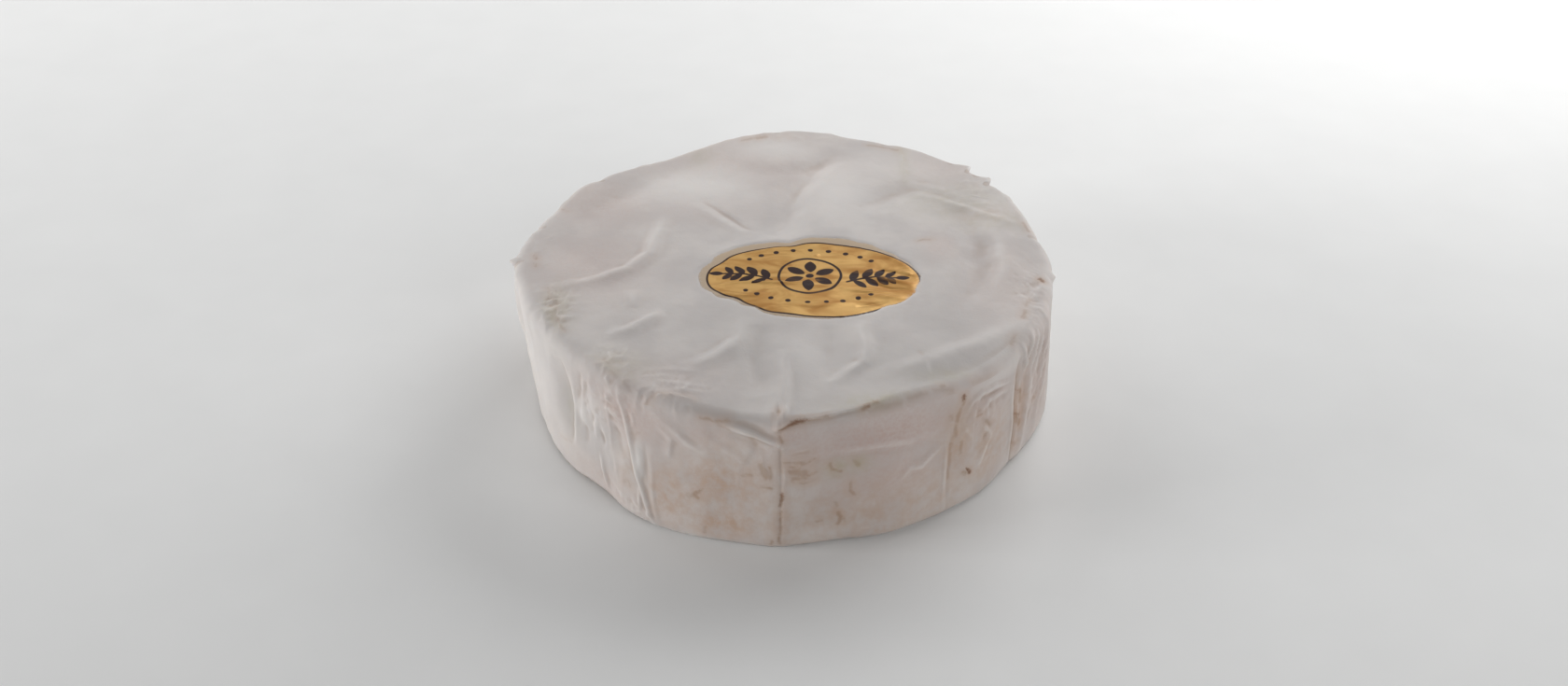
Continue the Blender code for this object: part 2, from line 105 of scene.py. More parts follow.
# Folds of the side, where the wrapper pressed it: (path of azimuth, height; half widths; rise).
SIDE_FOLDS = (
    (((186.5, 43), (187, 24)), 3.4, 3.4, 0.9),
    (((215.5, 41), (218.4, 28), (217.2, 11)), 1.4, 6.0, -2.2),
    (((219.4, 41), (220.0, 29), (218.9, 14)), 1.6, 1.2, 0.55),
    (((222.8, 43), (222.5, 32)), 0.9, 1.6, -0.5),
    (((224.3, 43), (223.7, 32)), 1.3, 1.0, 0.35),
    (((225.2, 41), (224.0, 34)), 0.6, 0.6, -0.25),
    (((222.6, 31.5), (222.9, 23)), 2.2, 2.2, 0.5),
    (((223.6, 24), (222.8, 15)), 1.6, 1.6, -0.6),
    (((226.2, 41), (227.4, 38), (226.6, 35)), 1.0, 1.0, 0.3),
    (((227.8, 31), (226.4, 21)), 1.2, 0.8, 0.7),
    (((228.9, 30), (229.5, 23)), 0.9, 1.0, 0.5),
    (((229.2, 27), (229.0, 20)), 0.7, 0.7, -0.5),
    (((227.4, 16), (228.6, 3)), 0.8, 0.8, 0.8),
    (((229.6, 35.2), (232, 35.8), (234.8, 34.6)), 0.8, 0.8, 0.6),
    (((230, 33.6), (234, 32.6)), 0.8, 0.8, -0.35),
    (((230.6, 40.5), (233.4, 37.4)), 0.6, 0.8, 0.35),
    (((231.2, 33), (233.6, 28), (234.8, 20)), 2.4, 2.2, -0.9),
    (((230.4, 9.5), (233, 7.2), (236, 5.6)), 0.8, 0.8, 0.35),
    (((234.3, 47), (235, 41), (236, 35), (237.6, 25), (238.6, 18), (240.8, 7), (243, -4)), 0.9, 0.8, 0.95),
    (((237.4, 39.5), (238.1, 33.5)), 0.7, 0.9, 0.4),
    (((238.4, 30), (239.2, 23), (239.2, 15)), 1.2, 1.2, 0.6),
    (((239.1, 13), (238.9, 4)), 0.6, 0.6, 0.6),
    (((240.7, 31), (241, 16)), 1.1, 1.0, -0.35),
    (((241.9, 24), (242.1, 14), (243.2, 1)), 0.9, 0.8, 0.35),
    (((236, 2.4), (239.2, 4.2), (241.8, 5)), 0.6, 0.6, 0.6),
    (((237, 6.9), (239.2, 4.7)), 0.5, 0.6, 0.5),
    (((240, 3.6), (241.2, 4.4), (242, 3.6)), 0.5, 0.5, 0.4),
    (((246.7, 36), (246.1, 26)), 0.8, 1.8, 0.45),
    (((241, 43), (247, 37.6), (251, 34.2), (257, 32)), 1.8, 2.6, 0.8),
    (((243, 38), (247.5, 33.4)), 1.3, 1.3, 0.45),
    (((248.6, 37), (254, 33.4)), 1.0, 1.0, -0.4),
    (((252, 39.5), (257, 35), (262, 31)), 1.8, 2.2, 0.5),
    (((257, 43.4), (260, 43), (263.7, 41.9), (267.7, 38.9), (269.3, 36)), 0.9, 0.9, 1.4),
    (((258.4, 45.6), (262, 45), (266.6, 43)), 1.2, 1.0, -0.5),
    (((258, 40.5), (263, 38.6), (266.5, 35)), 1.2, 1.6, -0.5),
    (((268.2, 56), (268.2, -8)), 0.5, 0.5, -0.3),
    (((269.6, 30.4), (272.4, 31.2), (275.4, 33)), 0.7, 0.6, 0.35),
    (((269.8, 24.9), (272.6, 24.3), (275.6, 25.2)), 0.6, 0.7, 0.35),
    (((270.4, 35.2), (274.4, 36.6)), 0.6, 0.8, 0.3),
    (((272, 33.6), (279.6, 33.8), (287, 33.6), (294, 32), (299.4, 32), (302.6, 35)), 3.0, 1.0, 0.6),
    (((291.6, 18.6), (294.3, 22.8), (297, 22.4), (299.2, 24.8), (302.4, 27.6)), 0.8, 1.4, 0.6),
    (((283, 3.6), (284.6, 5), (288, 4.4)), 0.6, 0.7, 0.35),
    (((302.7, 30), (302.7, 4)), 0.5, 0.5, 0.3),
    (((303.7, 33), (303.8, 0)), 3.0, 0.6, -0.6),
    (((307.4, 35), (308.7, 38), (310.8, 39.4), (315, 39.4), (322, 36.4)), 0.8, 1.0, 0.7),
    (((309.6, 36), (311.6, 37.6), (318, 37)), 0.7, 0.7, -0.4),
    (((311.2, 30.5), (311.9, 33.8), (313.4, 35.4), (317, 35.4), (322.6, 33.4)), 1.2, 0.8, 0.7),
    (((312.6, 27), (314.4, 22.6), (313.2, 20)), 1.2, 0.8, 0.45),
    (((316, 24), (313.1, 16.2), (311.6, 11)), 0.8, 1.0, 0.5),
    (((323.3, 46), (323.6, 38), (324.2, 30), (324.9, 22), (325.4, 12), (325.4, -6)), 1.0, 0.6, -1.1),
    (((322.4, 35), (323.2, 26), (324, 12), (324.8, 2)), 0.6, 0.6, 0.5),
    (((325.0, 47), (325.6, 42), (327.1, 36.8)), 0.5, 0.5, 0.7),
    (((330.3, 47), (328.3, 44), (326.7, 40), (326.6, 34)), 0.5, 0.6, 0.84),
    (((332.2, 46), (330.2, 41), (329.4, 34)), 0.5, 0.6, 0.84),
    (((335, 44), (332.4, 38), (331.6, 30)), 0.6, 0.6, 0.84),
    (((338.2, 42), (335.6, 34), (334.4, 22)), 0.6, 0.7, 0.84),
    (((341.5, 38), (338.5, 28), (337, 14)), 0.7, 0.8, 0.7),
    (((333.4, 20), (331, 11)), 0.6, 0.6, -0.56),
    (((329.5, 48), (329.8, 24), (329, -4)), 1.6, 1.6, 0.7),
    (((338, 48), (336, 2)), 1.8, 2.0, 0.6),
    (((346.5, 48), (348, 0)), 2.6, 2.6, -0.9),
    (((352, 50), (353, -2)), 2.0, 2.0, 0.4),
)

# Round the back the same wrapper left plain pleats: (azimuth, lean in degrees, rise).
BACK_PLEATS = (
    (8, 2, -0.8), (27, 2, 0.8), (34, 1, -0.9), (47, -2, 1.0), (66, 0, -0.9), (79, 3, 0.8), (94, -2, -1.0),
    (105, 1, 0.4), (125, 2, 0.4), (132, -3, 0.6), (142, 1, -0.9), (154, 2, 0.4), (168, -2, -0.8),
    (179, 2, 0.6), (190, 1, -0.4), (201, -2, 0.3),
)  # fmt: skip
PLEAT_HALF_WIDTH = 2.1

# The white top skin ends over the front in a low lip, whose edge runs through these azimuths and heights. It
# comes up and dies away over some degrees at its two ends.
LIP_EDGE = ((266.5, 42.4), (268.1, 43.4), (269.8, 44.9), (271.2, 45.7), (276, 45.8), (280, 46.1), (294, 46.6))
LIP_STEP = 0.9
LIP_RISE = 0.6
LIP_FADES = (1.5, 12.0)

# Torn flakes that stand out of the top edge, each drawn up to a point: (azimuth, reach, spread
# anticlockwise, spread clockwise, height, half height).
EDGE_FLAKES = (
    (44.0, 3.4, 5.0, 1.5, 47.0, 2.2),
    (36.6, 3.3, 4.6, 1.6, 47.0, 2.2),
    (180.5, 2.2, 1.6, 1.8, 45.6, 1.3),
    (355.5, 1.4, 3.6, 3.6, 44.5, 1.8),
)

# Long low swells of the whole top: (waves across the wheel along x, along y, phase, rise).
TOP_SWELLS = ((1.3, 0.6, 0.4, 0.45), (-0.7, 1.7, 2.1, 0.4), (2.3, 1.9, 4.0, 0.25), (3.1, -1.2, 1.0, 0.2))

# Patches where the drying skin is finely crumpled: (middle, half size, rise), with the middle in x, y on the
# top and in azimuth, height on the side.
TOP_CRUMPLES = (
    ((-70, -33), (6, 14), 0.8), ((-52, -58), (9, 8), 0.55), ((-33, -70), (14, 6), 0.4),
    ((62, 44), (10, 14), 0.35), ((74, -22), (5, 16), 0.7), ((-6, 78), (22, 5), 0.35),
    ((-78, 2), (4, 12), 0.3), ((40, -72), (22, 4), 0.15),
)  # fmt: skip
SIDE_CRUMPLES = (
    ((226, 30), (6, 11), 0.55), ((232, 38), (5, 8), 0.45), ((238, 45), (16, 4), 0.5), ((237, 5), (5, 4), 0.4),
    ((232, 14), (5, 8), 0.3), ((263, 30), (4, 8), 0.25), ((272, 27), (4, 5), 0.4), ((281, 14), (6, 10), 0.2),
    ((311, 32), (6, 8), 0.6), ((314, 24), (4, 6), 0.45), ((334, 30), (10, 18), 0.45),
    ((345, 20), (8, 16), 0.35), ((20, 24), (18, 18), 0.3), ((70, 26), (20, 18), 0.3),
    ((130, 22), (22, 18), 0.3), ((178, 26), (14, 16), 0.25),
)  # fmt: skip

# Random lumps of the skin and the ridges of its crumples: (size, rise, seed), and on the side also the share
# of the height that counts, where a small one draws them out upwards. The folds wander by the third kind.
LATTICE = 48
TOP_LUMPS = ((17.0, 0.22, 1), (7.0, 0.10, 2), (2.6, 0.04, 3))
TOP_RIDGES = ((5.0, 0.6, 51), (2.6, 0.4, 61))
TOP_WANDER = (7.0, 1.4, 5)
SIDE_LUMPS = ((15.0, 0.25, 7, 1.0), (4.0, 0.12, 8, 0.3), (2.6, 0.06, 9, 1.0))
SIDE_RIDGES = ((4.2, 0.6, 71, 0.35), (2.8, 0.4, 81, 0.6))
SIDE_WANDER = (9.0, 1.2, 6)


def smooth_step(value):
    value = np.clip(value, 0.0, 1.0)
    return value * value * (3.0 - 2.0 * value)


def hump(distance, half_width):
    return np.exp(-((distance / half_width) ** 2))


def stretch_lengths(path):
    ends = zip(path, path[1:], strict=False)
    return [np.hypot(end[0] - start[0], end[1] - start[1]) for start, end in ends]


def along_path(across, up, path):
    """Signed distance to a path of straight stretches, positive on its left, and the share of it passed."""
    lengths = stretch_lengths(path)
    nearest = np.full(np.shape(across), np.inf)
    signed = np.zeros(np.shape(across))
    passed_share = np.zeros(np.shape(across))
    passed = 0.0
    for start, end, length in zip(path, path[1:], lengths, strict=False):
        run_across = end[0] - start[0]
        run_up = end[1] - start[1]
        beside_across = across - start[0]
        beside_up = up - start[1]
        share = np.clip((beside_across * run_across + beside_up * run_up) / length**2, 0.0, 1.0)
        gap = np.hypot(beside_across - share * run_across, beside_up - share * run_up)
        closer = gap < nearest
        nearest = np.where(closer, gap, nearest)
        side = np.sign(run_across * beside_up - run_up * beside_across)
        signed = np.where(closer, gap * side, signed)
        passed_share = np.where(closer, (passed + share * length) / sum(lengths), passed_share)
        passed += length
    return signed, passed_share


def crease(across, up, path, left, right):
    """A fold along a path, 1 on its crest, with its own half width on each side, dying away at both ends."""
    signed, share = along_path(across, up, path)
    return hump(signed, np.where(signed > 0.0, left, right)) * np.sin(np.pi * share) ** 0.8


def turn_between(azimuth, middle):
    """Degrees from middle to azimuth, from -180 to 180."""
    return (azimuth - middle + 180.0) % 360.0 - 180.0


def plan_offset(azimuth, plan):
    """How far a plan's bulges and flats move its edge out in each direction."""
    return sum(reach * hump(turn_between(azimuth, middle), half) for middle, reach, half in plan)


def lumps(points, size, seed):
    """Smooth random lumps from -1 to 1, about as wide as size."""
    heights = np.random.default_rng(seed).uniform(-1.0, 1.0, (LATTICE, LATTICE, LATTICE))
    cell = points / size
    low = np.floor(cell).astype(int)
    share = smooth_step(cell - low)
    total = np.zeros(len(points))
    for corner in np.ndindex(2, 2, 2):
        weight = np.prod(np.where(corner, share, 1.0 - share), axis=1)
        across, along, up = ((low + corner) % LATTICE).T
        total += weight * heights[across, along, up]
    return total


def crumpled(points, size, seed):
    """Thin wandering ridges, 1 on their crests and 0 between them, as on crushed tissue."""
    bent = points + 0.5 * size * np.stack([lumps(points, size, seed + step) for step in (1, 2, 3)], axis=1)
    return smooth_step(1.0 - np.abs(lumps(bent, size, seed)) / 0.34)


def label_axes(x, y):
    """Where a point lies along the label's length and width, from its middle."""
    beside_x = x - LABEL_MIDDLE[0]
    beside_y = y - LABEL_MIDDLE[1]
    along = beside_x * np.cos(LABEL_TURN) + beside_y * np.sin(LABEL_TURN)
    beside = beside_y * np.cos(LABEL_TURN) - beside_x * np.sin(LABEL_TURN)
    return along, beside


# How far the label shows: the mould has grown in over its edge in some places, and the drying skin has drawn
# others in: (direction on the label in degrees, share of its half size, half width in degrees). The edge is
# fuzzy too: (size, reach, seed).
LABEL_MEAN_HALF = 27.0
EDGE_FUZZ = ((1.3, 0.14, 21), (3.6, 0.4, 22))
OVERGROWTH = (
    (34, -0.04, 20), (74, 0.015, 10), (104, -0.10, 7), (118, -0.03, 8), (159, -0.03, 8), (208, -0.03, 6),
    (225, -0.10, 10), (240, -0.07, 7), (314, -0.035, 12),
)  # fmt: skip


def label_edge(along, beside):
    """The share of the label's half size at which its visible edge lies in the direction of each point."""
    direction = np.degrees(np.arctan2(beside / LABEL_HALF[1], along / LABEL_HALF[0]))
    return 1.0 + plan_offset(direction, OVERGROWTH)


def beyond_label(x, y):
    """Millimetres outside the edge of the label that still shows, negative on what shows of it."""
    along, beside = label_axes(x, y)
    flat = np.stack([x, y, np.zeros_like(x)], axis=1)
    fuzz = sum(reach * lumps(flat, size, seed) for size, reach, seed in EDGE_FUZZ)
    share = np.hypot(along / LABEL_HALF[0], beside / LABEL_HALF[1])
    return (share / label_edge(along, beside) - 1.0) * LABEL_MEAN_HALF + fuzz


def top_swell(x, y):
    """The low waves of the top, which run under the label too."""
    swell = np.zeros(np.shape(x))
    for waves_x, waves_y, phase, rise in TOP_SWELLS:
        swell += rise * np.sin((waves_x * x + waves_y * y) * np.pi / WHEEL_RADIUS + phase)
    from_rim = np.clip(np.hypot(x, y) / WHEEL_RADIUS, 0.0, 1.0)
    return swell - TOP_SINK * (1.0 - from_rim**2)


# The folds of the top die away towards the label, and round it the rind has grown up a little and then steps
# down into the seat that the label lies in.
CALM_REACH = 6.0
GROWN_RISE = 0.05
GROWN_HALF_WIDTH = 3.0
SEAT_WALL_FOOT = 2.4
SEAT_WALL = 2.6


def top_relief(x, y):
    """Rise of the rind over the flat top."""
    flat = np.stack([x, y, np.zeros_like(x)], axis=1)
    wander_size, wander_reach, wander_seed = TOP_WANDER
    warp = wander_reach * lumps(flat, wander_size, wander_seed)
    folds = sum(rise * lumps(flat, size, seed) for size, rise, seed in TOP_LUMPS)
    for path, left, right, rise in TOP_FOLDS:
        wander = warp if left > 1.0 else 0.4 * warp
        folds += rise * crease(x + wander * 0.5, y + wander * 0.3, path, left, right)
    ridges = sum(rise * crumpled(flat, size, seed) for size, rise, seed in TOP_RIDGES)
    crushed = sum(
        rise * hump(x - middle[0], half[0]) * hump(y - middle[1], half[1])
        for middle, half, rise in TOP_CRUMPLES
    )
    folds += crushed * ridges
    beyond = beyond_label(x, y)
    outside = smooth_step((beyond + SEAT_WALL_FOOT) / SEAT_WALL)
    calm = smooth_step(beyond / CALM_REACH)
    grown = GROWN_RISE * outside * hump(beyond, GROWN_HALF_WIDTH)
    return top_swell(x, y) + folds * calm + grown - SEAT_DEPTH * (1.0 - outside)


def side_relief(azimuth, height, points):
    """How far the rind stands out of the plain side."""
    arc = np.pi / 180.0 * WHEEL_RADIUS
    wander_size, wander_reach, wander_seed = SIDE_WANDER
    warp = wander_reach * lumps(points, wander_size, wander_seed)
    relief = sum(rise * lumps(points * (1.0, 1.0, run), size, seed) for size, rise, seed, run in SIDE_LUMPS)
    for path, left, right, rise in SIDE_FOLDS:
        middle = path[0][0]
        placed = [((turn - middle) * arc, level) for turn, level in path]
        beside = turn_between(azimuth, middle) * arc
        straight = abs(path[0][0] - path[-1][0]) < 0.5 and len(path) == 2
        wander = 0.12 * warp if straight else 0.4 * warp
        relief += rise * crease(beside + wander, height, placed, left, right)
    level = height / WHEEL_HEIGHT
    for middle, lean, rise in BACK_PLEATS:
        beside = turn_between(azimuth, middle + lean * (level - 0.5)) * arc
        relief += rise * (0.6 + 0.4 * level) * hump(beside + warp, PLEAT_HALF_WIDTH)
    ridges = sum(
        rise * crumpled(points * (1.0, 1.0, run), size, seed) for size, rise, seed, run in SIDE_RIDGES
    )
    crushed = sum(
        rise * hump(turn_between(azimuth, middle[0]), half[0]) * hump(height - middle[1], half[1])
        for middle, half, rise in SIDE_CRUMPLES
    )
    relief += crushed * ridges
    first, last = LIP_EDGE[0][0], LIP_EDGE[-1][0]
    edge = np.interp(azimuth, [turn for turn, _ in LIP_EDGE], [rise for _, rise in LIP_EDGE])
    within = smooth_step((azimuth - first) / LIP_FADES[0]) * smooth_step((last - azimuth) / LIP_FADES[1])
    relief += LIP_STEP * within * smooth_step((height - edge) / LIP_RISE)
    for middle, reach, left, right, flake_height, half_height in EDGE_FLAKES:
        beside = turn_between(azimuth, middle) * arc
        share = np.where(beside > 0.0, beside / left, -beside / right)
        relief += reach * np.clip(1.0 - share, 0.0, 1.0) ** 1.3 * hump(height - flake_height, half_height)
    return relief


def shaped(points):
    """Gives the plain turned wheel its real plan, the folds of its rind and the seat of the label."""
    x, y, z = points.T
    radius = np.hypot(x, y)
    azimuth = np.degrees(np.arctan2(y, x)) % 360.0
    level = np.clip(z / WHEEL_HEIGHT, 0.0, 1.0)
    offset = level * plan_offset(azimuth, TOP_PLAN) + (1.0 - level) * plan_offset(azimuth, FOOT_PLAN)
    near_rim = smooth_step((radius / WHEEL_RADIUS - 0.15) / 0.85)
    on_side = smooth_step((radius - (WHEEL_RADIUS - 2.0 * TOP_EDGE_ROUND)) / TOP_EDGE_ROUND)
    on_side = on_side * smooth_step(z / FOOT_CALM)
    radius_now = radius + offset * near_rim + side_relief(azimuth, z, points) * on_side
    scale = radius_now / np.maximum(radius, 1e-9)
    x = x * scale
    y = y * scale
    near_top = smooth_step((level - 0.5) / 0.5)
    return np.stack([x, y, z + top_relief(x, y) * near_top], axis=1)


def disk_grid(rings):
    """A square grid pressed into a unit disk with even cells: its points, its quads and its rim in order."""
    steps = np.linspace(-1.0, 1.0, 2 * rings + 1)
    down, across = np.meshgrid(steps, steps, indexing="ij")
    flat = np.abs(across) >= np.abs(down)
    reach = np.where(flat, across, down)
    share = np.where(flat, down, across) / np.where(reach == 0.0, 1.0, reach)
    turn = np.where(flat, share * np.pi / 4.0, np.pi / 2.0 - share * np.pi / 4.0)
    points = np.stack([reach * np.cos(turn), reach * np.sin(turn)], axis=-1).reshape(-1, 2)
    index = np.arange((2 * rings + 1) ** 2).reshape(2 * rings + 1, -1)
    quads = np.stack([index[:-1, :-1], index[:-1, 1:], index[1:, 1:], index[1:, :-1]], axis=-1).reshape(-1, 4)
    rim = np.concatenate([index[0, :-1], index[:-1, -1], index[-1, :0:-1], index[:0:-1, 0]])
    return points, quads, rim


def new_piece(name, points, faces):
    """A smooth mesh object from points in millimetres."""
    mesh = bpy.data.meshes.new(name)
    mesh.from_pydata((points * MM).tolist(), [], [list(face) for face in faces])
    mesh.shade_smooth()
    piece = bpy.data.objects.new(name, mesh)
    bpy.context.scene.collection.objects.link(piece)
    return piece


def keep_values(piece, name, values):
    """Stores one number per point, which the material reads by name."""
    layer = piece.data.attributes.new(name, "FLOAT", "POINT")
    layer.data.foreach_set("value", np.asarray(values, np.float32))


# The skin's grid: even cells on the top, then rows round the top edge, down the side and under the foot. The
# rows lie closest just below the top edge, where the lip is, and the columns at the front, where most of the
# folds are.
SIDE_COLUMNS = 800
TOP_RINGS = SIDE_COLUMNS // 8
EDGE_ROWS = 12
LIP_ROWS = 14
LIP_FOOT = 36.0
SIDE_ROWS = 40
FOOT_ROWS = 3
CROWDED = 0.35
top_points, top_quads, top_rim = disk_grid(TOP_RINGS)
share = np.hypot(top_points[:, 0], top_points[:, 1])
turn = np.arctan2(top_points[:, 1], top_points[:, 0])
turn = turn - CROWDED * share**2 * np.cos(turn)
top_points = share[:, None] * np.stack([np.cos(turn), np.sin(turn)], axis=1)
top_points = np.column_stack(
    [top_points * (WHEEL_RADIUS - TOP_EDGE_ROUND), np.full(len(top_points), WHEEL_HEIGHT)]
)
rim_turns = np.arctan2(top_points[top_rim, 1], top_points[top_rim, 0])
profile = []
for turn in np.linspace(0.0, np.pi / 2.0, EDGE_ROWS + 1)[1:]:
    out = WHEEL_RADIUS - TOP_EDGE_ROUND * (1.0 - np.sin(turn))
    profile.append((out, WHEEL_HEIGHT - TOP_EDGE_ROUND * (1.0 - np.cos(turn))))
for level in np.linspace(WHEEL_HEIGHT - TOP_EDGE_ROUND, LIP_FOOT, LIP_ROWS + 1)[1:]:
    profile.append((WHEEL_RADIUS, level))
for level in np.linspace(LIP_FOOT, FOOT_EDGE_ROUND, SIDE_ROWS + 1)[1:]:
    profile.append((WHEEL_RADIUS, level))
for turn in np.linspace(0.0, np.pi / 2.0, FOOT_ROWS + 1)[1:]:
    out = WHEEL_RADIUS - FOOT_EDGE_ROUND * (1.0 - np.cos(turn))
    profile.append((out, FOOT_EDGE_ROUND * (1.0 - np.sin(turn))))
profile.append((WHEEL_RADIUS / 2.0, 0.0))
side_points = np.concatenate(
    [
        np.stack([out * np.cos(rim_turns), out * np.sin(rim_turns), np.full(len(rim_turns), level)], axis=1)
        for out, level in profile
    ]
)
foot_middle = np.zeros((1, 3))
skin = np.concatenate([top_points, side_points, foot_middle])
rows = [top_rim]
rows += [len(top_points) + row * SIDE_COLUMNS + np.arange(SIDE_COLUMNS) for row in range(len(profile))]
faces = top_quads.tolist()
for upper, lower in zip(rows, rows[1:], strict=False):
    faces += np.stack([upper, lower, np.roll(lower, -1), np.roll(upper, -1)], axis=1).tolist()
last_row = rows[-1].tolist()
next_ones = last_row[1:] + last_row[:1]
faces += [[first, len(skin) - 1, second] for first, second in zip(last_row, next_ones, strict=True)]
placed = shaped(skin)

# Crests of the relief are drawn paler, for more mould and a painted highlight, and hollows darker, for
# tan rind and painted shade, so each point keeps how far it stands out of the skin some grid steps away.
CREST_STEPS = 3


def stands_out(rise):
    """A grid of rises, each less the mean of those some steps away on its four sides."""
    wide = np.pad(rise, CREST_STEPS, "edge")
    steps = slice(CREST_STEPS, -CREST_STEPS)
    beside = wide[steps, : -2 * CREST_STEPS] + wide[steps, 2 * CREST_STEPS :]
    above = wide[: -2 * CREST_STEPS, steps] + wide[2 * CREST_STEPS :, steps]
    return rise - (beside + above) / 4.0


top_rise = placed[: len(top_points), 2].reshape(2 * TOP_RINGS + 1, -1)
side_rise = np.hypot(placed[:, 0], placed[:, 1]) - np.hypot(skin[:, 0], skin[:, 1])
side_rise = side_rise[len(top_points) : -1].reshape(len(profile), -1)
crest = np.concatenate([stands_out(top_rise).ravel(), stands_out(side_rise).ravel(), [0.0]])
crest = crest * smooth_step(beyond_label(placed[:, 0], placed[:, 1]) / CALM_REACH)

# The wheel's axis in the frame, found from the place of the label's node.
label_low, label_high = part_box("foil_label")
wheel_axis = np.array([label_low.x + label_high.x, label_low.y + label_high.y]) / 2.0 / MM - LABEL_MIDDLE
wheel_axis = np.append(wheel_axis, 0.0)
wheel = new_piece("ripened_wheel", placed + wheel_axis, faces)
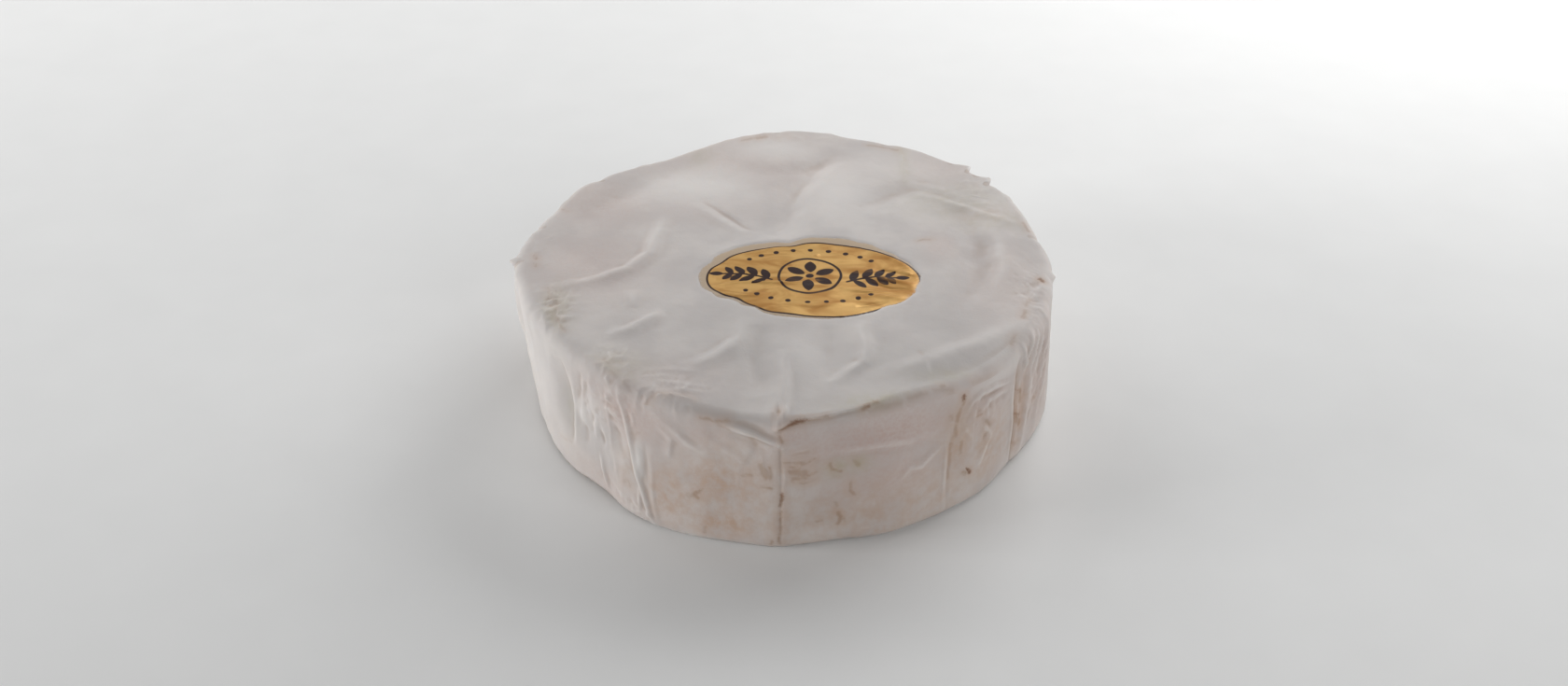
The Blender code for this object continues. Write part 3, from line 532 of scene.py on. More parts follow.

# What has discoloured the rind, and the shadow under the lip. Brown strokes are where a fold of the wrapper
# kept it moist: (strength, then points of azimuth, height and half width); the first two are the painted
# shadow under the top's lip, over a brown stain there. Those of the top have points of x, y and half width.
# Their edges wander by the jitter.
JITTER = 0.35
JITTER_SIZE = 1.6
JITTER_SEED = 31
NO_STROKE_NEAR = 9.0
FRONT_AZIMUTH = 270.0
SIDE_STROKES = (
    # The first two strokes paint the shadow under the top's lip, over a brown stain there.
    (0.9, (268, 43.4, 0.08), (269.2, 44.5, 0.18), (270.4, 45.3, 0.42), (271.4, 45.8, 0.3), (273.2, 46, 0.15)),
    (0.6, (273.2, 46, 0.15), (275.2, 46.1, 0.1), (277.4, 46.2, 0.05)),
    (0.55, (268.2, 41.6, 0.1), (268.7, 40, 0.35), (268.5, 39, 0.1)),
    (0.25, (268.2, 37.5, 0.05), (268.3, 34.6, 0.15), (268.2, 33, 0.05)),
    (0.3, (268.2, 32, 0.05), (268.3, 29.6, 0.15), (268.3, 28, 0.05)),
    (0.8, (268.4, 20.4, 0.15), (268.6, 19, 0.35), (268.3, 17, 0.3), (268.2, 15.8, 0.05)),
    (0.65, (268.3, 14, 0.05), (268.3, 10, 0.18), (268.1, 5, 0.12), (268.1, 3.4, 0.08)),
    (0.6, (268.2, 2.9, 0.2), (268.3, 2.4, 0.15)),
    (0.6, (266.8, 3.4, 0.3), (266.5, 2, 0.15)),
    (0.45, (264.6, 30.8, 0.5), (265.2, 28, 1.0), (265.6, 26, 0.6)),
    (0.5, (266.3, 30, 0.3), (266.4, 26, 0.4)),
    (0.4, (261.2, 26.2, 0.4), (262.8, 26.8, 0.6)),
    (0.55, (264.6, 23, 0.2), (266.6, 22.6, 0.3)),
    (0.3, (262.8, 40.4, 0.7), (263.4, 38, 0.6)),
    (0.55, (270.2, 30, 0.15), (272.5, 30.8, 0.2), (274.8, 32.6, 0.2)),
    (0.5, (268.8, 31.4, 0.15), (272.8, 31.8, 0.2)),
    (0.5, (270.4, 24.8, 0.15), (272.6, 24.2, 0.25), (275, 25, 0.1)),
    (0.45, (270.4, 28.2, 0.8), (272.8, 28, 1.1)),
    (0.4, (270.6, 26, 0.6), (273, 26.4, 0.6)),
    (0.5, (273.4, 26.6, 0.25), (275, 27.6, 0.15)),
    (0.4, (270.6, 34.4, 0.15), (273.6, 35.6, 0.2)),
    (0.55, (277.8, 29.8, 0.35), (278.4, 27.4, 0.4), (280, 26.4, 0.3)),
    (0.35, (282.4, 29.8, 0.4), (283.4, 28.2, 0.6)),
    (0.55, (281.9, 22, 0.25), (282.1, 19, 0.4), (282.8, 17.6, 0.3)),
    (0.55, (279.6, 11.4, 0.5), (280.2, 9.4, 0.7), (279.6, 7.4, 0.4)),
    (0.4, (281, 9.6, 0.2), (280.8, 8, 0.2)),
    (0.4, (275.4, 9.2, 0.3), (276.2, 9.3, 0.3)),
    (0.35, (279, 15.6, 0.4), (279.4, 14, 0.3)),
    (0.6, (250.4, 15.4, 0.2), (251.6, 17, 0.45), (253, 19, 0.15)),
    (0.55, (249.8, 16, 0.15), (252, 15.6, 0.4)),
    (0.5, (253.3, 5.4, 0.15), (253.1, 3.2, 0.3)),
    (0.55, (252.8, 44.4, 0.1), (255.6, 44.2, 0.15), (258.2, 44.9, 0.3)),
    (0.35, (256.6, 43.4, 0.3), (258.6, 43, 0.5)),
    (0.7, (284.2, 46.3, 0.15), (285.6, 46.6, 0.3)),
    (0.45, (286.6, 47, 0.3), (287.6, 46.6, 0.2)),
    (0.95, (306.4, 41.4, 0.35), (306.6, 40.6, 0.5), (306.5, 39.8, 0.3)),
    (0.5, (307, 40, 0.3), (306.6, 38.6, 0.5)),
    (0.5, (306.0, 37.3, 0.5), (305.3, 35, 0.7), (305.0, 33, 0.6)),
    (0.4, (304.9, 31.5, 0.5), (305, 28, 0.8)),
    (0.35, (303.9, 26, 0.4), (304, 20, 0.5), (303.9, 13, 0.3)),
    (0.4, (306.8, 25, 0.5), (306.6, 21, 0.6)),
    (0.35, (303.4, 36, 0.4), (303.8, 34.2, 0.3)),
    (0.95, (308.4, 13.6, 0.25), (309.3, 12.2, 0.5), (309.6, 11.6, 0.3)),
    (0.5, (307.6, 13, 0.5), (308.4, 12.2, 0.6)),
    (0.5, (310.4, 32, 0.3), (311.7, 31.7, 0.35)),
    (0.35, (311, 33.6, 0.15), (312, 32.8, 0.2)),
    (0.35, (313.6, 28, 0.4), (314.4, 25.8, 0.5)),
    (0.4, (313.9, 23.6, 0.3), (313.2, 22, 0.25)),
    (0.6, (323.4, 38.4, 0.2), (323.6, 34.4, 0.25)),
    (0.5, (324.0, 33, 0.15), (324.3, 30, 0.15)),
    (0.5, (324.5, 26.5, 0.2), (324.9, 23, 0.2)),
    (0.65, (325.4, 29.2, 0.4), (326.4, 27.6, 0.6)),
    (0.45, (326.2, 27.5, 0.8), (327, 24, 0.8)),
    (0.7, (325.6, 19.8, 0.35), (327, 18.6, 0.3)),
    (0.55, (326.2, 18, 0.7), (327.4, 14.8, 0.7)),
    (0.35, (325, 10, 0.5), (326.8, 7, 0.5)),
    (0.45, (333.2, 19.6, 0.25), (334.2, 18.2, 0.3)),
    (0.25, (238.4, 31, 0.12), (239, 32.4, 0.25), (239.6, 32.8, 0.1)),
    (0.28, (234.8, 12, 0.25), (236, 13.2, 0.2), (236.8, 11.6, 0.15)),
    (0.18, (231.8, 38, 0.15), (233.8, 37.2, 0.2)),
    (0.15, (224.4, 38, 0.4), (223.6, 34, 0.5)),
    (0.18, (212.8, 10.2, 0.2), (217, 11.4, 0.1)),
)
TOP_STROKES = (
    (0.6, (-3.3, -79.6, 0.1), (-3.1, -80.6, 0.3), (-3.2, -81.6, 0.1)),
    (0.25, (-73.6, -19, 0.2), (-72.2, -23, 0.4)),
    (0.3, (-72.7, -25.2, 0.2), (-70.4, -26.8, 0.4)),
    (0.3, (-71.4, -29.4, 0.2), (-69.4, -32.6, 0.4)),
    (0.3, (-69.9, -35.4, 0.2), (-67.6, -38.2, 0.4)),
    (0.25, (-67.8, -40.2, 0.2), (-65.8, -43.4, 0.3)),
    (0.55, (-79.8, 0.8, 0.3), (-79.2, -1.2, 0.4)),
    (0.4, (-79.3, -4.2, 0.3), (-78.9, -6, 0.3)),
    (0.5, (41.2, 8.6, 0.1), (43.2, 9.4, 0.25), (45, 9.6, 0.1)),
    (0.85, (77.2, -12.4, 0.4), (77.8, -13.4, 0.4)),
    (0.4, (72.4, -25, 0.3), (71.4, -28, 0.3)),
    (0.45, (70.4, -31, 0.4), (69.4, -35, 0.5)),
    (0.35, (66, -44, 0.3), (64.4, -48, 0.4)),
    (0.25, (22, -79.4, 0.2), (27, -77.6, 0.5), (31, -76.2, 0.3)),
    (0.25, (33, -74.8, 0.3), (38, -72.2, 0.4)),
    (0.25, (40, -70.8, 0.2), (46, -68.4, 0.4)),
    (0.4, (42.6, -69, 0.3), (43.4, -68.6, 0.2)),
    (0.2, (52, -64.3, 0.3), (60, -58.3, 0.4)),
    (0.3, (-16, 75, 0.5), (-8, 78, 0.7)),
    (0.35, (28, 74.2, 0.4), (38, 70.6, 0.5)),
    (0.45, (76, 20.5, 0.2), (77.2, 15.5, 0.35)),
    (0.3, (-75, 30.5, 0.3), (-72.6, 29, 0.2)),
    (0.35, (-40.5, -73.6, 0.1), (-36.7, -72.2, 0.15), (-32.7, -72.9, 0.15), (-26.2, -74.6, 0.1)),
    (0.2, (-53.5, -57.5, 0.3), (-51.6, -59, 0.3)),
    (0.2, (-50.8, -62.8, 0.3), (-49.4, -64.4, 0.3)),
    (0.2, (-46.4, -67, 0.25), (-45.2, -68.6, 0.3)),
)

# Broad tints of the side (azimuth, height; half size in degrees and millimetres; strength) and of the top
# (x, y; half sizes; strength). The side is tan low down, where the wrapper stayed damp, and rose above. The
# grey patches are painted shade: the top is shaded greyer at the front, and so are the side's top edge left
# of the seam and a hollow of the side. The pale patches are partly paler mould and partly painted light,
# broadest on the left side and over the back of the top. The top is greenish at its edge.
SIDE_TINTS = {
    "tan": (
        (284, 9, 36, 14, 0.7), (258, 20, 12, 18, 0.75), (271, 27, 7, 9, 0.55), (306, 24, 6, 16, 0.7),
        (326.5, 20, 3.5, 16, 0.9), (342, 14, 12, 20, 0.3), (246, 14, 6, 12, 0.9), (60, 12, 60, 14, 0.45),
        (150, 10, 50, 13, 0.4), (315, 16, 8, 14, 0.8), (236, 17, 4, 9, 0.45),
        (256, 23, 8, 9, 0.95), (257, 8, 9, 7, 1.0),
    ),
    "rose": (
        (271, 41, 6, 5, 0.8), (288, 36, 20, 10, 1.1), (290, 22, 14, 9, 0.8), (236, 37, 14, 9, 0.8),
        (228, 6, 12, 6, 0.5), (254, 39, 8, 6, 0.5), (312, 34, 12, 12, 0.7), (336, 26, 14, 24, 0.7),
        (100, 34, 70, 10, 0.4),
    ),
    # Painted shade: the rounded top edge left of the seam and a hollow of the side.
    "painted_shade": ((258, 45.5, 9, 2.4, 0.9), (236, 46, 12, 3, 0.5), (216, 25, 3, 10, 0.3)),
    "green": (
        (279, 28, 2.5, 3, 0.9), (283.5, 28.5, 2.2, 3.2, 0.8), (287, 47, 6, 1.8, 0.6),
        (217.5, 24, 2.5, 8, 0.5), (306, 30, 3, 8, 0.3),
    ),
    # Partly paler mould, partly painted light, broadest on the left side that faces the low lamp.
    "pale": (
        (239.2, 22, 1.1, 7, 0.9), (196, 26, 20, 26, 0.6), (222.5, 28, 2.5, 5, 0.6),
        (316, 42, 8, 3, 0.5), (226, 32, 5, 8, 0.6), (276, 5, 7, 3, 0.35),
    ),
}
TOP_TINTS = {
    "tan": ((-8, 78, 16, 4, 0.4), (66, 26, 14, 6, 0.2)),
    "rose": (
        (-20, 58, 40, 20, 0.5), (-62, -4, 20, 24, 0.5), (-30, 34, 24, 14, 0.35), (-40, -66, 26, 12, 0.3),
        (50, 60, 20, 14, 0.35), (48, 5, 6, 9, 0.45), (66, -16, 14, 26, 0.35), (-60, 34, 20, 20, 0.5),
    ),
    # Painted shade, greyer over the front of the top.
    "painted_shade": (
        (-8, -60, 22, 20, 0.65), (32, -60, 26, 16, 0.7), (46, -40, 12, 14, 0.6), (-14, -36, 14, 14, 0.5),
    ),
    "green": (
        (54, 36, 16, 12, 0.4), (66, 22, 12, 6, 0.4), (39.5, 62, 2.2, 14, 0.6), (-70, -32, 5, 13, 0.6),
        (30, -77, 16, 3.5, 0.8), (52, -65, 14, 4, 0.6), (-30, 64, 4, 8, 0.4), (-50, -60, 10, 8, 0.4),
    ),
    # Partly paler mould, partly painted light that makes the back of the top lighter.
    "pale": (
        (-30, 46, 20, 14, 0.9), (-5, 70, 16, 9, 0.75), (16, 42, 12, 16, 0.75), (36, 60, 14, 10, 0.4),
        (5, -50, 7, 10, 0.5), (62, -45, 8, 8, 0.3),
    ),
}


def patches(across, up, ovals):
    """Soft oval patches, of which the strongest counts. Across may be an azimuth, which wraps round."""
    total = np.zeros(np.shape(across))
    for middle_across, middle_up, half_across, half_up, strength in ovals:
        patch = strength * hump(turn_between(across, middle_across), half_across)
        total = np.maximum(total, patch * hump(up - middle_up, half_up))
    return total


def outside_strokes(across, up, strokes):
    """Distance outside the nearest of some tapering strokes, and that stroke's strength."""
    nearest = np.full(np.shape(across), NO_STROKE_NEAR)
    depth = np.zeros(np.shape(across))
    for strength, *route in strokes:
        lengths = stretch_lengths(route)
        gap, share = along_path(across, up, route)
        half = np.interp(share, np.cumsum([0.0] + lengths) / sum(lengths), [point[2] for point in route])
        outside = np.abs(gap) - half
        depth = np.where(outside < nearest, strength, depth)
        nearest = np.minimum(nearest, outside)
    return nearest, depth


arc = np.pi / 180.0 * WHEEL_RADIUS
azimuth = np.degrees(np.arctan2(skin[:, 1], skin[:, 0])) % 360.0
height = skin[:, 2]
radius = np.hypot(skin[:, 0], skin[:, 1])
on_side = smooth_step((radius - (WHEEL_RADIUS - TOP_EDGE_ROUND)) / (0.8 * TOP_EDGE_ROUND)) * (height > 0.0)
jitter = JITTER * lumps(skin, JITTER_SIZE, JITTER_SEED)
side_routes = [
    (strength, *(((turn - FRONT_AZIMUTH) * arc, level, half) for turn, level, half in route))
    for strength, *route in SIDE_STROKES
]
across = turn_between(azimuth, FRONT_AZIMUTH) * arc
side_gap, side_depth = outside_strokes(across + jitter, height + jitter, side_routes)
top_gap, top_depth = outside_strokes(placed[:, 0] + jitter, placed[:, 1] + jitter, TOP_STROKES)
side_gap = np.where(radius > WHEEL_RADIUS - TOP_EDGE_ROUND, side_gap, NO_STROKE_NEAR)
top_gap = np.where(height > WHEEL_HEIGHT - TOP_EDGE_ROUND, top_gap, NO_STROKE_NEAR)
keep_values(wheel, "crest", crest)
keep_values(wheel, "outside_stroke", np.minimum(side_gap, top_gap))
keep_values(wheel, "stroke_depth", np.where(side_gap < top_gap, side_depth, top_depth))
for name, ovals in SIDE_TINTS.items():
    side_tint = patches(azimuth, height, ovals) * on_side
    top_tint = patches(placed[:, 0], placed[:, 1], TOP_TINTS[name]) * (1.0 - on_side)
    keep_values(wheel, name, side_tint + top_tint)


def linear(shade):
    """An sRGB hex colour as linear RGBA."""
    parts = [int(shade[place : place + 2], 16) / 255.0 for place in (1, 3, 5)]
    return (*(part / 12.92 if part <= 0.04045 else ((part + 0.055) / 1.055) ** 2.4 for part in parts), 1.0)


def add_node(tree, kind, settings, inputs):
    """Adds a node with its settings, and sets or links its inputs."""
    added = tree.nodes.new(kind)
    for name, value in settings.items():
        setattr(added, name, value)
    for name, value in inputs.items():
        if isinstance(value, bpy.types.NodeSocket):
            tree.links.new(value, added.inputs[name])
        else:
            added.inputs[name].default_value = value
    return added


# Bloomy rind: a felt of white mould over soft curd. It is matt and velvety, lets a little light in, and turns
# rose where it thins, tan on the side where it was wrapped, and brown where it stayed moist in a crease. Its
# colour also holds painted shade in grey patches, in the hollows of the relief and under the lip, and painted
# light in some pale patches and on the crests. The felt's hairs are some hundredths of a millimetre thick,
# too fine to show, and are drawn as coarser tufts.
rind = bpy.data.materials.new("bloomy_rind")
rind.use_nodes = True
tree = rind.node_tree
shader = tree.nodes["Principled BSDF"]
CLOUD_MM = 16.0
MOTTLE_MM = 3.2
SPECKLE_MM = 1.1
FELT_MM = 0.55
WHITE_MOULD = linear("#cbc5c1")
GREY_MOULD = linear("#c0bab7")
PAINTED_SHADE_GREY = linear("#b5b0ad")
PALE_MOULD_AND_LIGHT = linear("#dad5d1")
ROSE_MOULD = linear("#bfaaa2")
GREEN_MOULD = linear("#b0a992")
TAN_RIND = linear("#bb9f8b")
HOLLOW_TAN_AND_SHADE = linear("#a08b7c")
BROWN_RIND = linear("#9a7b5f")
DARK_RIND = linear("#7a5642")
place = add_node(tree, "ShaderNodeTexCoord", {}, {}).outputs["Object"]
noise = {}
for name, grain, detail, roughness in (
    ("cloud", CLOUD_MM, 3.0, 0.5),
    ("mottle", MOTTLE_MM, 4.0, 0.6),
    ("speckle", SPECKLE_MM, 3.0, 0.6),
    ("felt", FELT_MM, 3.0, 0.65),
):
    noise[name] = add_node(
        tree,
        "ShaderNodeTexNoise",
        {"label": name},
        {"Vector": place, "Scale": 1.0 / (grain * MM), "Detail": detail, "Roughness": roughness},
    ).outputs["Fac"]
kept = {
    name: add_node(tree, "ShaderNodeAttribute", {"attribute_name": name}, {}).outputs["Fac"]
    for name in ("crest", "outside_stroke", "stroke_depth", "tan", "rose", "painted_shade", "green", "pale")
}

# The strokes' edges are frayed by the speckle, and a tan wash spreads some millimetres round each of them.
frayed = add_node(
    tree,
    "ShaderNodeMath",
    {"operation": "MULTIPLY_ADD"},
    {0: noise["speckle"], 1: 1.1, 2: kept["outside_stroke"]},
).outputs["Value"]
eased = {}
for name, source, low, high, least, most in (
    ("clouded", noise["cloud"], 0.35, 0.65, 0.0, 1.0),
    ("patchy", noise["mottle"], 0.3, 0.7, 0.35, 1.0),
    ("dusted", noise["speckle"], 0.35, 0.7, 0.6, 1.0),
    ("stroke", frayed, 0.0, 1.25, 1.0, 0.0),
    ("wash", kept["outside_stroke"], 0.0, 3.0, 0.45, 0.0),
    ("darkened", kept["stroke_depth"], 0.55, 1.0, 0.0, 1.0),
    # Paler crests and darker hollows: partly the mould, partly painted highlight and painted shade.
    ("crest_mould_and_highlight", kept["crest"], 0.03, 0.35, 0.0, 0.45),
    ("hollow_mould_and_shade", kept["crest"], -0.03, -0.35, 0.0, 0.4),
):
    ends = {"Value": source, "From Min": low, "From Max": high, "To Min": least, "To Max": most}
    ranged = add_node(tree, "ShaderNodeMapRange", {"interpolation_type": "SMOOTHSTEP"}, ends)
    eased[name] = ranged.outputs["Result"]
share = {}
for name, first, second in (
    ("green", kept["green"], eased["patchy"]),
    ("tan", kept["tan"], eased["patchy"]),
    ("rose", kept["rose"], eased["dusted"]),
    ("wash", eased["wash"], kept["stroke_depth"]),
    ("stain_and_lip_shadow", eased["stroke"], kept["stroke_depth"]),
    ("dark", eased["stroke"], eased["darkened"]),
):
    product = add_node(tree, "ShaderNodeMath", {"operation": "MULTIPLY"}, {0: first, 1: second})
    share[name] = product.outputs["Value"]
colour = WHITE_MOULD
for cover, shade in (
    (eased["clouded"], GREY_MOULD),
    # Grey patches of painted shade.
    (kept["painted_shade"], PAINTED_SHADE_GREY),
    (share["rose"], ROSE_MOULD),
    (share["green"], GREEN_MOULD),
    (share["tan"], TAN_RIND),
    # Pale patches: partly paler mould, partly painted light.
    (kept["pale"], PALE_MOULD_AND_LIGHT),
    # Crests: partly more mould, partly painted highlight.
    (eased["crest_mould_and_highlight"], PALE_MOULD_AND_LIGHT),
    # Hollows: partly tan rind, partly painted shade.
    (eased["hollow_mould_and_shade"], HOLLOW_TAN_AND_SHADE),
    (share["wash"], TAN_RIND),
    # Brown and dark strokes: stains, and the painted shadow under the lip.
    (share["stain_and_lip_shadow"], BROWN_RIND),
    (share["dark"], DARK_RIND),
):
    mixed = add_node(tree, "ShaderNodeMix", {"data_type": "RGBA"}, {0: cover, 6: colour, 7: shade})
    colour = mixed.outputs[2]
velvet = add_node(
    tree, "ShaderNodeBump", {}, {"Strength": 0.25, "Distance": 0.10 * MM, "Height": noise["felt"]}
)
pitted = add_node(
    tree,
    "ShaderNodeBump",
    {},
    {"Strength": 0.5, "Distance": 0.25 * MM, "Height": noise["mottle"], "Normal": velvet.outputs["Normal"]},
)
moist = add_node(
    tree,
    "ShaderNodeMapRange",
    {"interpolation_type": "SMOOTHSTEP"},
    {"Value": share["stain_and_lip_shadow"], "From Min": 0.3, "From Max": 1.0, "To Min": 0.82, "To Max": 0.6},
)
tree.links.new(colour, shader.inputs["Base Color"])
tree.links.new(moist.outputs["Result"], shader.inputs["Roughness"])
tree.links.new(pitted.outputs["Normal"], shader.inputs["Normal"])
for name, value in (
    ("Subsurface Weight", 0.12),
    ("Subsurface Radius", (1.0, 0.7, 0.5)),
    ("Subsurface Scale", 1.5 * MM),
    ("Sheen Weight", 0.12),
    ("Sheen Roughness", 0.6),
    ("Specular IOR Level", 0.3),
):
    shader.inputs[name].default_value = value
wheel.data.materials.append(rind)
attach(wheel, "root")
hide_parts("cheese_wheel")

# The label: an oval sticker of thin gold foil with a clear margin, printed in dark brown and pressed on while
# the rind was young. The mould has crept in over its edge, and the drying skin has wrinkled it.
LABEL_RINGS = 90
FOIL_THICKNESS = 0.12
FOIL_BELOW_SKIN = 0.12
TUCKED_DEPTH = 0.34
TUCK_START = 2.6
TUCK_LENGTH = 3.4
LABEL_CREASES = (
    (((22, -11.5), (30, -13.5), (40, -17)), 0.9, 1.4, 0.45),
    (((24, -15), (31, -18.5), (38, -19.5)), 0.8, 0.8, -0.35),
    (((17, -24), (26, -22), (37, -24)), 0.9, 1.5, 0.42),
    (((20, -28), (30, -25.5)), 0.8, 0.8, -0.35),
    (((-3, -27), (8, -28), (20, -26)), 1.6, 1.0, 0.26),
    (((-23, -20), (-14, -22.5), (-6, -21)), 0.8, 1.6, 0.48),
    (((-5, 2), (4, 3.5), (15, 2)), 1.6, 1.0, 0.32),
    (((24, 3), (32, -1.5), (38, -8)), 1.2, 1.2, 0.32),
    (((14, -7), (28, -9)), 1.4, 1.0, 0.22),
    (((-22, -6), (-14, -9), (-8, -8)), 1.2, 1.6, 0.22),
    (((34, -9), (38, -11)), 0.8, 0.8, 0.32),
    (((-2, -16), (10, -18), (24, -16)), 1.4, 1.0, 0.19),
    (((-26, -16.5), (-14, -15), (0, -15.6), (10, -15)), 0.5, 1.0, 0.4),
    (((26, -8), (33, -9.5), (39, -13)), 0.6, 0.8, -0.3),
    (((16, -18.6), (24, -20), (32, -21)), 0.6, 0.9, 0.4),
    (((-16, 1), (-6, 4.5), (4, 6)), 0.8, 1.2, 0.26),
)
LABEL_BUBBLE = (8.5, 0.3, 0.9, 0.25)
sheet, sheet_quads, _ = disk_grid(LABEL_RINGS)
along = sheet[:, 0] * LABEL_HALF[0]
beside = sheet[:, 1] * LABEL_HALF[1]
foil_x = LABEL_MIDDLE[0] + along * np.cos(LABEL_TURN) - beside * np.sin(LABEL_TURN)
foil_y = LABEL_MIDDLE[1] + along * np.sin(LABEL_TURN) + beside * np.cos(LABEL_TURN)
foil_flat = np.stack([foil_x, foil_y, np.zeros_like(foil_x)], axis=1)
covered = beyond_label(foil_x, foil_y)
buckle = 0.10 * lumps(foil_flat * (0.6, 1.0, 1.0), 5.0, 41) + 0.035 * lumps(foil_flat, 2.2, 42)
for path, left, right, rise in LABEL_CREASES:
    buckle += rise * crease(foil_x, foil_y, path, left, right)
bubble_x, bubble_y, bubble_half, bubble_rise = LABEL_BUBBLE
buckle += bubble_rise * hump(np.hypot(foil_x - bubble_x, foil_y - bubble_y), bubble_half)
tucked = smooth_step((covered + TUCK_START) / TUCK_LENGTH)
foil_z = WHEEL_HEIGHT + top_swell(foil_x, foil_y) - FOIL_BELOW_SKIN
foil_z = foil_z + buckle * (1.0 - tucked) - TUCKED_DEPTH * tucked
label = new_piece("gold_label", np.stack([foil_x, foil_y, foil_z], axis=1) + wheel_axis, sheet_quads)
thickness = label.modifiers.new("foil_thickness", "SOLIDIFY")
thickness.thickness = FOIL_THICKNESS * MM
thickness.offset = -1.0

# The print: a line round the edge, a six-petalled flower in a ring, a leafy spray on each side of it and a
# row of dots above and below. Each point of the foil keeps how far it lies outside the nearest ink. The line
# and the gold inside it are a little smaller than the label and lie nearer its lower right. Leaves are given
# as (start, direction in degrees, length, half width).
PRINT_WARP = 0.35
PRINT_WARP_SIZE = 5.0
LINE_MIDDLE = (1.4, -1.5)
LINE_HALF = (32.8, 20.4)
LINE_HALF_WIDTH = 0.34
LINE_WAVE = 0.45
LINE_DRAWN_IN = 0.75
FLOWER_RING = 9.6
RING_HALF_WIDTH = 0.45
PETALS = 6
PETAL_REACH = (2.0, 8.3)
PETAL_HALF_WIDTH = 1.75
FLOWER_EYE = 1.25
SPRAY_STEM = ((11.6, -2.8), (16.0, -0.6), (20.5, 0.5), (26.4, 0.3))
STEM_HALF_WIDTH = 0.42
LEAVES = (
    (12.6, -2.2, 68, 6.2, 1.35), (13.2, -1.9, -38, 5.6, 1.25), (16.4, -0.5, 62, 6.2, 1.35),
    (17.0, -0.3, -42, 5.6, 1.3), (20.0, 0.4, 56, 5.6, 1.3), (20.6, 0.5, -48, 5.4, 1.25),
    (23.4, 0.4, 50, 4.8, 1.1), (23.8, 0.4, -50, 4.6, 1.1), (26.4, 0.3, 0, 4.6, 1.15),
)  # fmt: skip
DOT_ROW = 14.6
DOT_STRETCH = 1.7
DOT_TURNS = (-50, -38, -26, -13, 0, 13, 26, 38, 50)
DOT_RADIUS = 0.85


def outside_leaf(across, up, start, direction, length, half_width):
    """Distance outside a pointed leaf that starts at a point and grows in a direction."""
    direction = np.radians(direction)
    forward = (across - start[0]) * np.cos(direction) + (up - start[1]) * np.sin(direction) - length / 2.0
    sideways = np.abs((up - start[1]) * np.cos(direction) - (across - start[0]) * np.sin(direction))
    bend = (length**2 / 4.0 + half_width**2) / (2.0 * half_width)
    rounded = np.hypot(forward, sideways + bend - half_width) - bend
    tips = np.hypot(np.abs(forward) - length / 2.0, sideways)
    return np.where(np.abs(forward) > length / 2.0, tips, rounded)


def outside_oval(across, up, half_across, half_up):
    """Roughly the distance outside an oval."""
    near = np.hypot(across / half_across, up / half_up)
    slope = np.hypot(across / half_across**2, up / half_up**2)
    return near * (near - 1.0) / np.maximum(slope, 1e-6)


drawn_in = 1.0 + LINE_DRAWN_IN * (label_edge(along, beside) - 1.0)
oval = outside_oval(
    (along - LINE_MIDDLE[0]) / drawn_in, (beside - LINE_MIDDLE[1]) / drawn_in, LINE_HALF[0], LINE_HALF[1]
)
oval += LINE_WAVE * lumps(foil_flat, 8.0, 43)
ink = np.abs(oval) - LINE_HALF_WIDTH
bent_along = along + PRINT_WARP * lumps(foil_flat, PRINT_WARP_SIZE, 44)
bent_beside = beside + PRINT_WARP * lumps(foil_flat, PRINT_WARP_SIZE, 45)
from_middle = np.hypot(bent_along, bent_beside)
ink = np.minimum(ink, np.abs(from_middle - FLOWER_RING) - RING_HALF_WIDTH)
ink = np.minimum(ink, from_middle - FLOWER_EYE)
for petal in range(PETALS):
    direction = 90.0 + petal * 360.0 / PETALS
    inner, outer = PETAL_REACH
    start = (inner * np.cos(np.radians(direction)), inner * np.sin(np.radians(direction)))
    petal_gap = outside_leaf(bent_along, bent_beside, start, direction, outer - inner, PETAL_HALF_WIDTH)
    ink = np.minimum(ink, petal_gap)
for side in (-1.0, 1.0):
    stem, _ = along_path(bent_along * side, bent_beside, SPRAY_STEM)
    ink = np.minimum(ink, np.abs(stem) - STEM_HALF_WIDTH)
    for across, up, direction, length, half_width in LEAVES:
        leaf = outside_leaf(bent_along * side, bent_beside, (across, up), direction, length, half_width)
        ink = np.minimum(ink, leaf)
for row in (-1.0, 1.0):
    for turn in DOT_TURNS:
        across = DOT_ROW * DOT_STRETCH * np.sin(np.radians(turn))
        up = row * DOT_ROW * np.cos(np.radians(turn))
        ink = np.minimum(ink, np.hypot(bent_along - across, bent_beside - up) - DOT_RADIUS)
keep_values(label, "outside_ink", ink)
keep_values(label, "outside_line", oval)
keep_values(label, "grown_over", covered)

# Gold foil: a metallised film with a satin varnish, so it is partly a metal to the eye, fairly rough, and
# uneven where it is creased. Its clear margin shows the rind below, and the print is a matt dark brown ink.
# The varnish's grain, finer than 0.1 mm, is drawn coarser so that it shows.
foil = bpy.data.materials.new("gold_foil")
foil.use_nodes = True
tree = foil.node_tree
shader = tree.nodes["Principled BSDF"]
SATIN_MM = 7.0
GRAIN_MM = 0.7
INK_EDGE_MM = 0.12
FOIL_METAL = 0.5
GOLD = linear("#dcb06c")
DEEP_GOLD = linear("#a87436")
MARGIN_FILM = linear("#b8a48d")
PRINT_BROWN = linear("#2c1714")
place = add_node(tree, "ShaderNodeTexCoord", {}, {}).outputs["Object"]
drawn_out = add_node(
    tree, "ShaderNodeMapping", {}, {"Vector": place, "Scale": (0.45, 1.0, 1.0)}
).outputs["Vector"]
satin = add_node(
    tree,
    "ShaderNodeTexNoise",
    {},
    {"Vector": drawn_out, "Scale": 1.0 / (SATIN_MM * MM), "Detail": 3.0, "Distortion": 0.8},
).outputs["Fac"]
grain = add_node(
    tree, "ShaderNodeTexNoise", {}, {"Vector": place, "Scale": 1.0 / (GRAIN_MM * MM), "Detail": 3.0}
).outputs["Fac"]
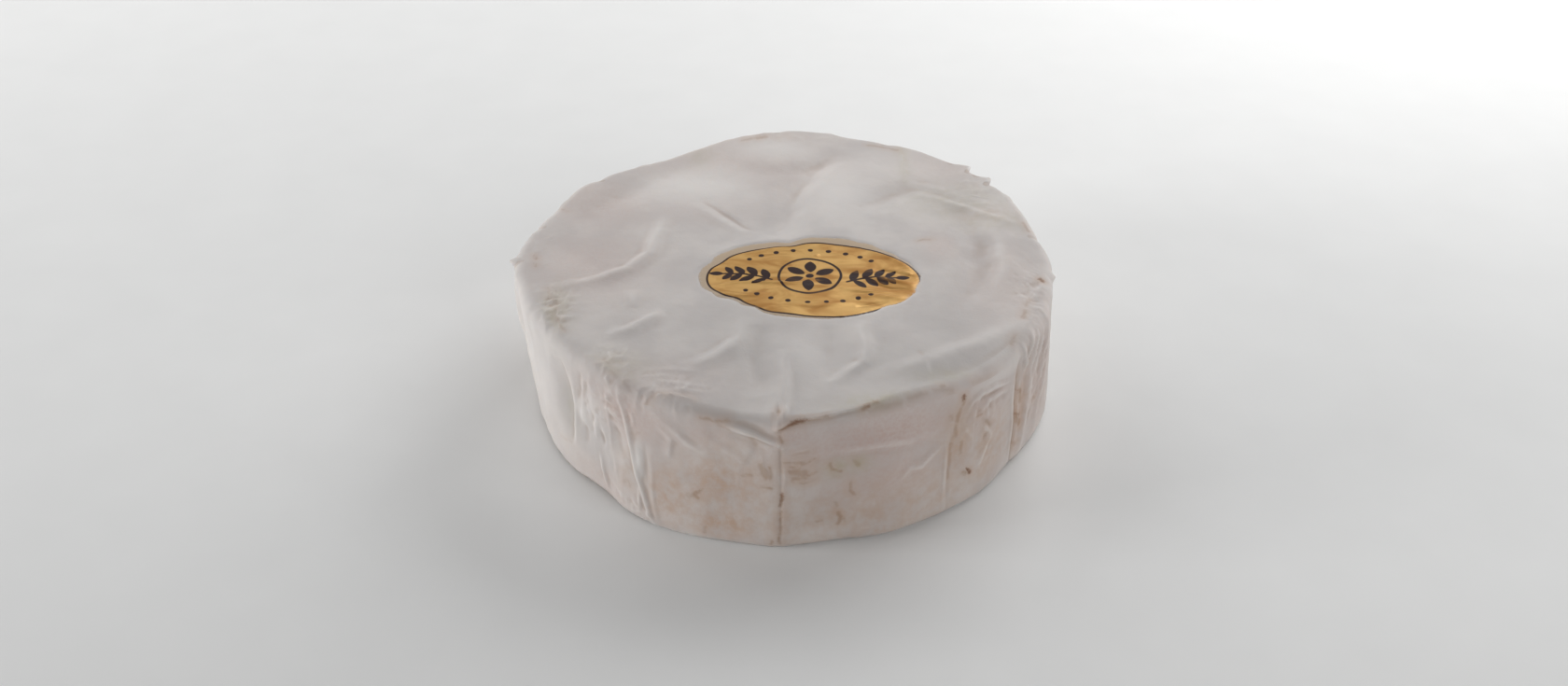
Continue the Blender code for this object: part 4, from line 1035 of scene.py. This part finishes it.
kept = {
    name: add_node(tree, "ShaderNodeAttribute", {"attribute_name": name}, {}).outputs["Fac"]
    for name in ("outside_ink", "outside_line", "grown_over")
}
creeping = add_node(
    tree, "ShaderNodeMath", {"operation": "MULTIPLY_ADD"}, {0: grain, 1: 2.4, 2: kept["grown_over"]}
).outputs["Value"]
eased = {}
for name, source, low, high, least, most in (
    ("deepened", satin, 0.36, 0.7, 0.0, 0.85),
    ("unworn", satin, 0.58, 0.75, 1.0, 0.6),
    ("satin_gloss", satin, 0.3, 0.7, 0.42, 0.54),
    ("margin", kept["outside_line"], -0.2, 0.3, 0.0, 1.0),
    ("inked", kept["outside_ink"], -INK_EDGE_MM, INK_EDGE_MM, 1.0, 0.0),
    ("mould", creeping, -0.5, 1.5, 0.0, 1.0),
):
    ends = {"Value": source, "From Min": low, "From Max": high, "To Min": least, "To Max": most}
    ranged = add_node(tree, "ShaderNodeMapRange", {"interpolation_type": "SMOOTHSTEP"}, ends)
    eased[name] = ranged.outputs["Result"]
printed = add_node(
    tree, "ShaderNodeMath", {"operation": "MULTIPLY"}, {0: eased["inked"], 1: eased["unworn"]}
).outputs["Value"]
colour = GOLD
for cover, shade in (
    (eased["deepened"], DEEP_GOLD),
    (eased["margin"], MARGIN_FILM),
    (printed, PRINT_BROWN),
    (eased["mould"], WHITE_MOULD),
):
    mixed = add_node(tree, "ShaderNodeMix", {"data_type": "RGBA"}, {0: cover, 6: colour, 7: shade})
    colour = mixed.outputs[2]
bare = FOIL_METAL
for cover in (eased["margin"], printed, eased["mould"]):
    left = add_node(tree, "ShaderNodeMath", {"operation": "SUBTRACT"}, {0: 1.0, 1: cover}).outputs["Value"]
    bare = add_node(tree, "ShaderNodeMath", {"operation": "MULTIPLY"}, {0: bare, 1: left}).outputs["Value"]
dulled = add_node(
    tree,
    "ShaderNodeMath",
    {"operation": "MULTIPLY_ADD"},
    {0: eased["mould"], 1: 0.35, 2: eased["satin_gloss"]},
).outputs["Value"]
ripple = add_node(tree, "ShaderNodeBump", {}, {"Strength": 0.5, "Distance": 0.4 * MM, "Height": satin})
grit = add_node(
    tree,
    "ShaderNodeBump",
    {},
    {"Strength": 0.12, "Distance": 0.08 * MM, "Height": grain, "Normal": ripple.outputs["Normal"]},
)
tree.links.new(colour, shader.inputs["Base Color"])
tree.links.new(bare, shader.inputs["Metallic"])
tree.links.new(dulled, shader.inputs["Roughness"])
tree.links.new(grit.outputs["Normal"], shader.inputs["Normal"])
shader.inputs["Specular IOR Level"].default_value = 0.25
label.data.materials.append(foil)
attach(label, "root")
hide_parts("foil_label")

# The floor: a sheet of pale matt card, wide enough that its edge stays out of every view. Its fibres are
# drawn far coarser than they are, as a faint cloudiness.
FLOOR_HALF = 6.0
FIBRE_MM = 25.0
CARD_GREY = linear("#e2e2e1")
CARD_PALE = linear("#e7e7e6")
card = bpy.data.materials.new("pale_card")
card.use_nodes = True
tree = card.node_tree
shader = tree.nodes["Principled BSDF"]
place = add_node(tree, "ShaderNodeTexCoord", {}, {}).outputs["Object"]
fibre = add_node(
    tree, "ShaderNodeTexNoise", {}, {"Vector": place, "Scale": 1.0 / (FIBRE_MM * MM), "Detail": 2.0}
).outputs["Fac"]
clouded = add_node(tree, "ShaderNodeMix", {"data_type": "RGBA"}, {0: fibre, 6: CARD_GREY, 7: CARD_PALE})
tree.links.new(clouded.outputs[2], shader.inputs["Base Color"])
shader.inputs["Roughness"].default_value = 0.9
corners = [(-FLOOR_HALF, -FLOOR_HALF, 0.0), (FLOOR_HALF, -FLOOR_HALF, 0.0), (FLOOR_HALF, FLOOR_HALF, 0.0)]
corners.append((-FLOOR_HALF, FLOOR_HALF, 0.0))
floor_mesh = bpy.data.meshes.new("floor_card")
floor_mesh.from_pydata(corners, [], [(0, 1, 2, 3)])
floor_mesh.materials.append(card)
floor = bpy.data.objects.new("floor_card", floor_mesh)
bpy.context.scene.collection.objects.link(floor)

# The light: a low soft box on the left, two close behind the wheel and one at the right front, in a pale room
# that fills the shade. None of them stands where the flat foil would throw it back at the camera.
SOFT_BOXES = (
    ("left_box", (-1.15, -0.2, 0.22), 0.42, 8.7),
    ("back_right_box", (0.42, 0.5, 0.42), 0.6, 4.5),
    ("back_left_box", (-0.42, 0.5, 0.42), 0.6, 2.1),
    ("right_box", (0.7, -0.8, 0.5), 0.8, 5.2),
)
for name, position, size, power in SOFT_BOXES:
    lamp = bpy.data.lights.new(name, "AREA")
    lamp.shape = "SQUARE"
    lamp.size = size
    lamp.energy = power
    box = bpy.data.objects.new(name, lamp)
    box.location = position
    facing = -np.array(position) / np.linalg.norm(position)
    box.rotation_euler = (np.arccos(-facing[2]), 0.0, np.arctan2(facing[1], facing[0]) - np.pi / 2.0)
    bpy.context.scene.collection.objects.link(box)
world = bpy.data.worlds.new("pale_room")
world.use_nodes = True
world.node_tree.nodes["Background"].inputs["Color"].default_value = linear("#dfe2e6")
world.node_tree.nodes["Background"].inputs["Strength"].default_value = 0.12
bpy.context.scene.world = world
bpy.context.scene.view_settings.view_transform = "Standard"

# The camera: a normal lens in front of the wheel, level, looking down on it. Its place is given in
# millimetres from the wheel's axis.
CAMERA_PLACE = np.array((-1.5675, -449.285, 324.043))
LOOKS_DOWN = 34.64
FOCAL_PIXELS = 1800.0
FRAME_PIXELS = 1680.0
lens = bpy.data.cameras.new("camera")
lens.sensor_width = 36.0
lens.lens = FOCAL_PIXELS / FRAME_PIXELS * lens.sensor_width
lens.clip_start = 0.01
lens.clip_end = 50.0
camera = bpy.data.objects.new("camera", lens)
camera.location = (CAMERA_PLACE + wheel_axis) * MM
camera.rotation_euler = (np.radians(90.0 - LOOKS_DOWN), 0.0, 0.0)
bpy.context.scene.collection.objects.link(camera)
bpy.context.scene.camera = camera
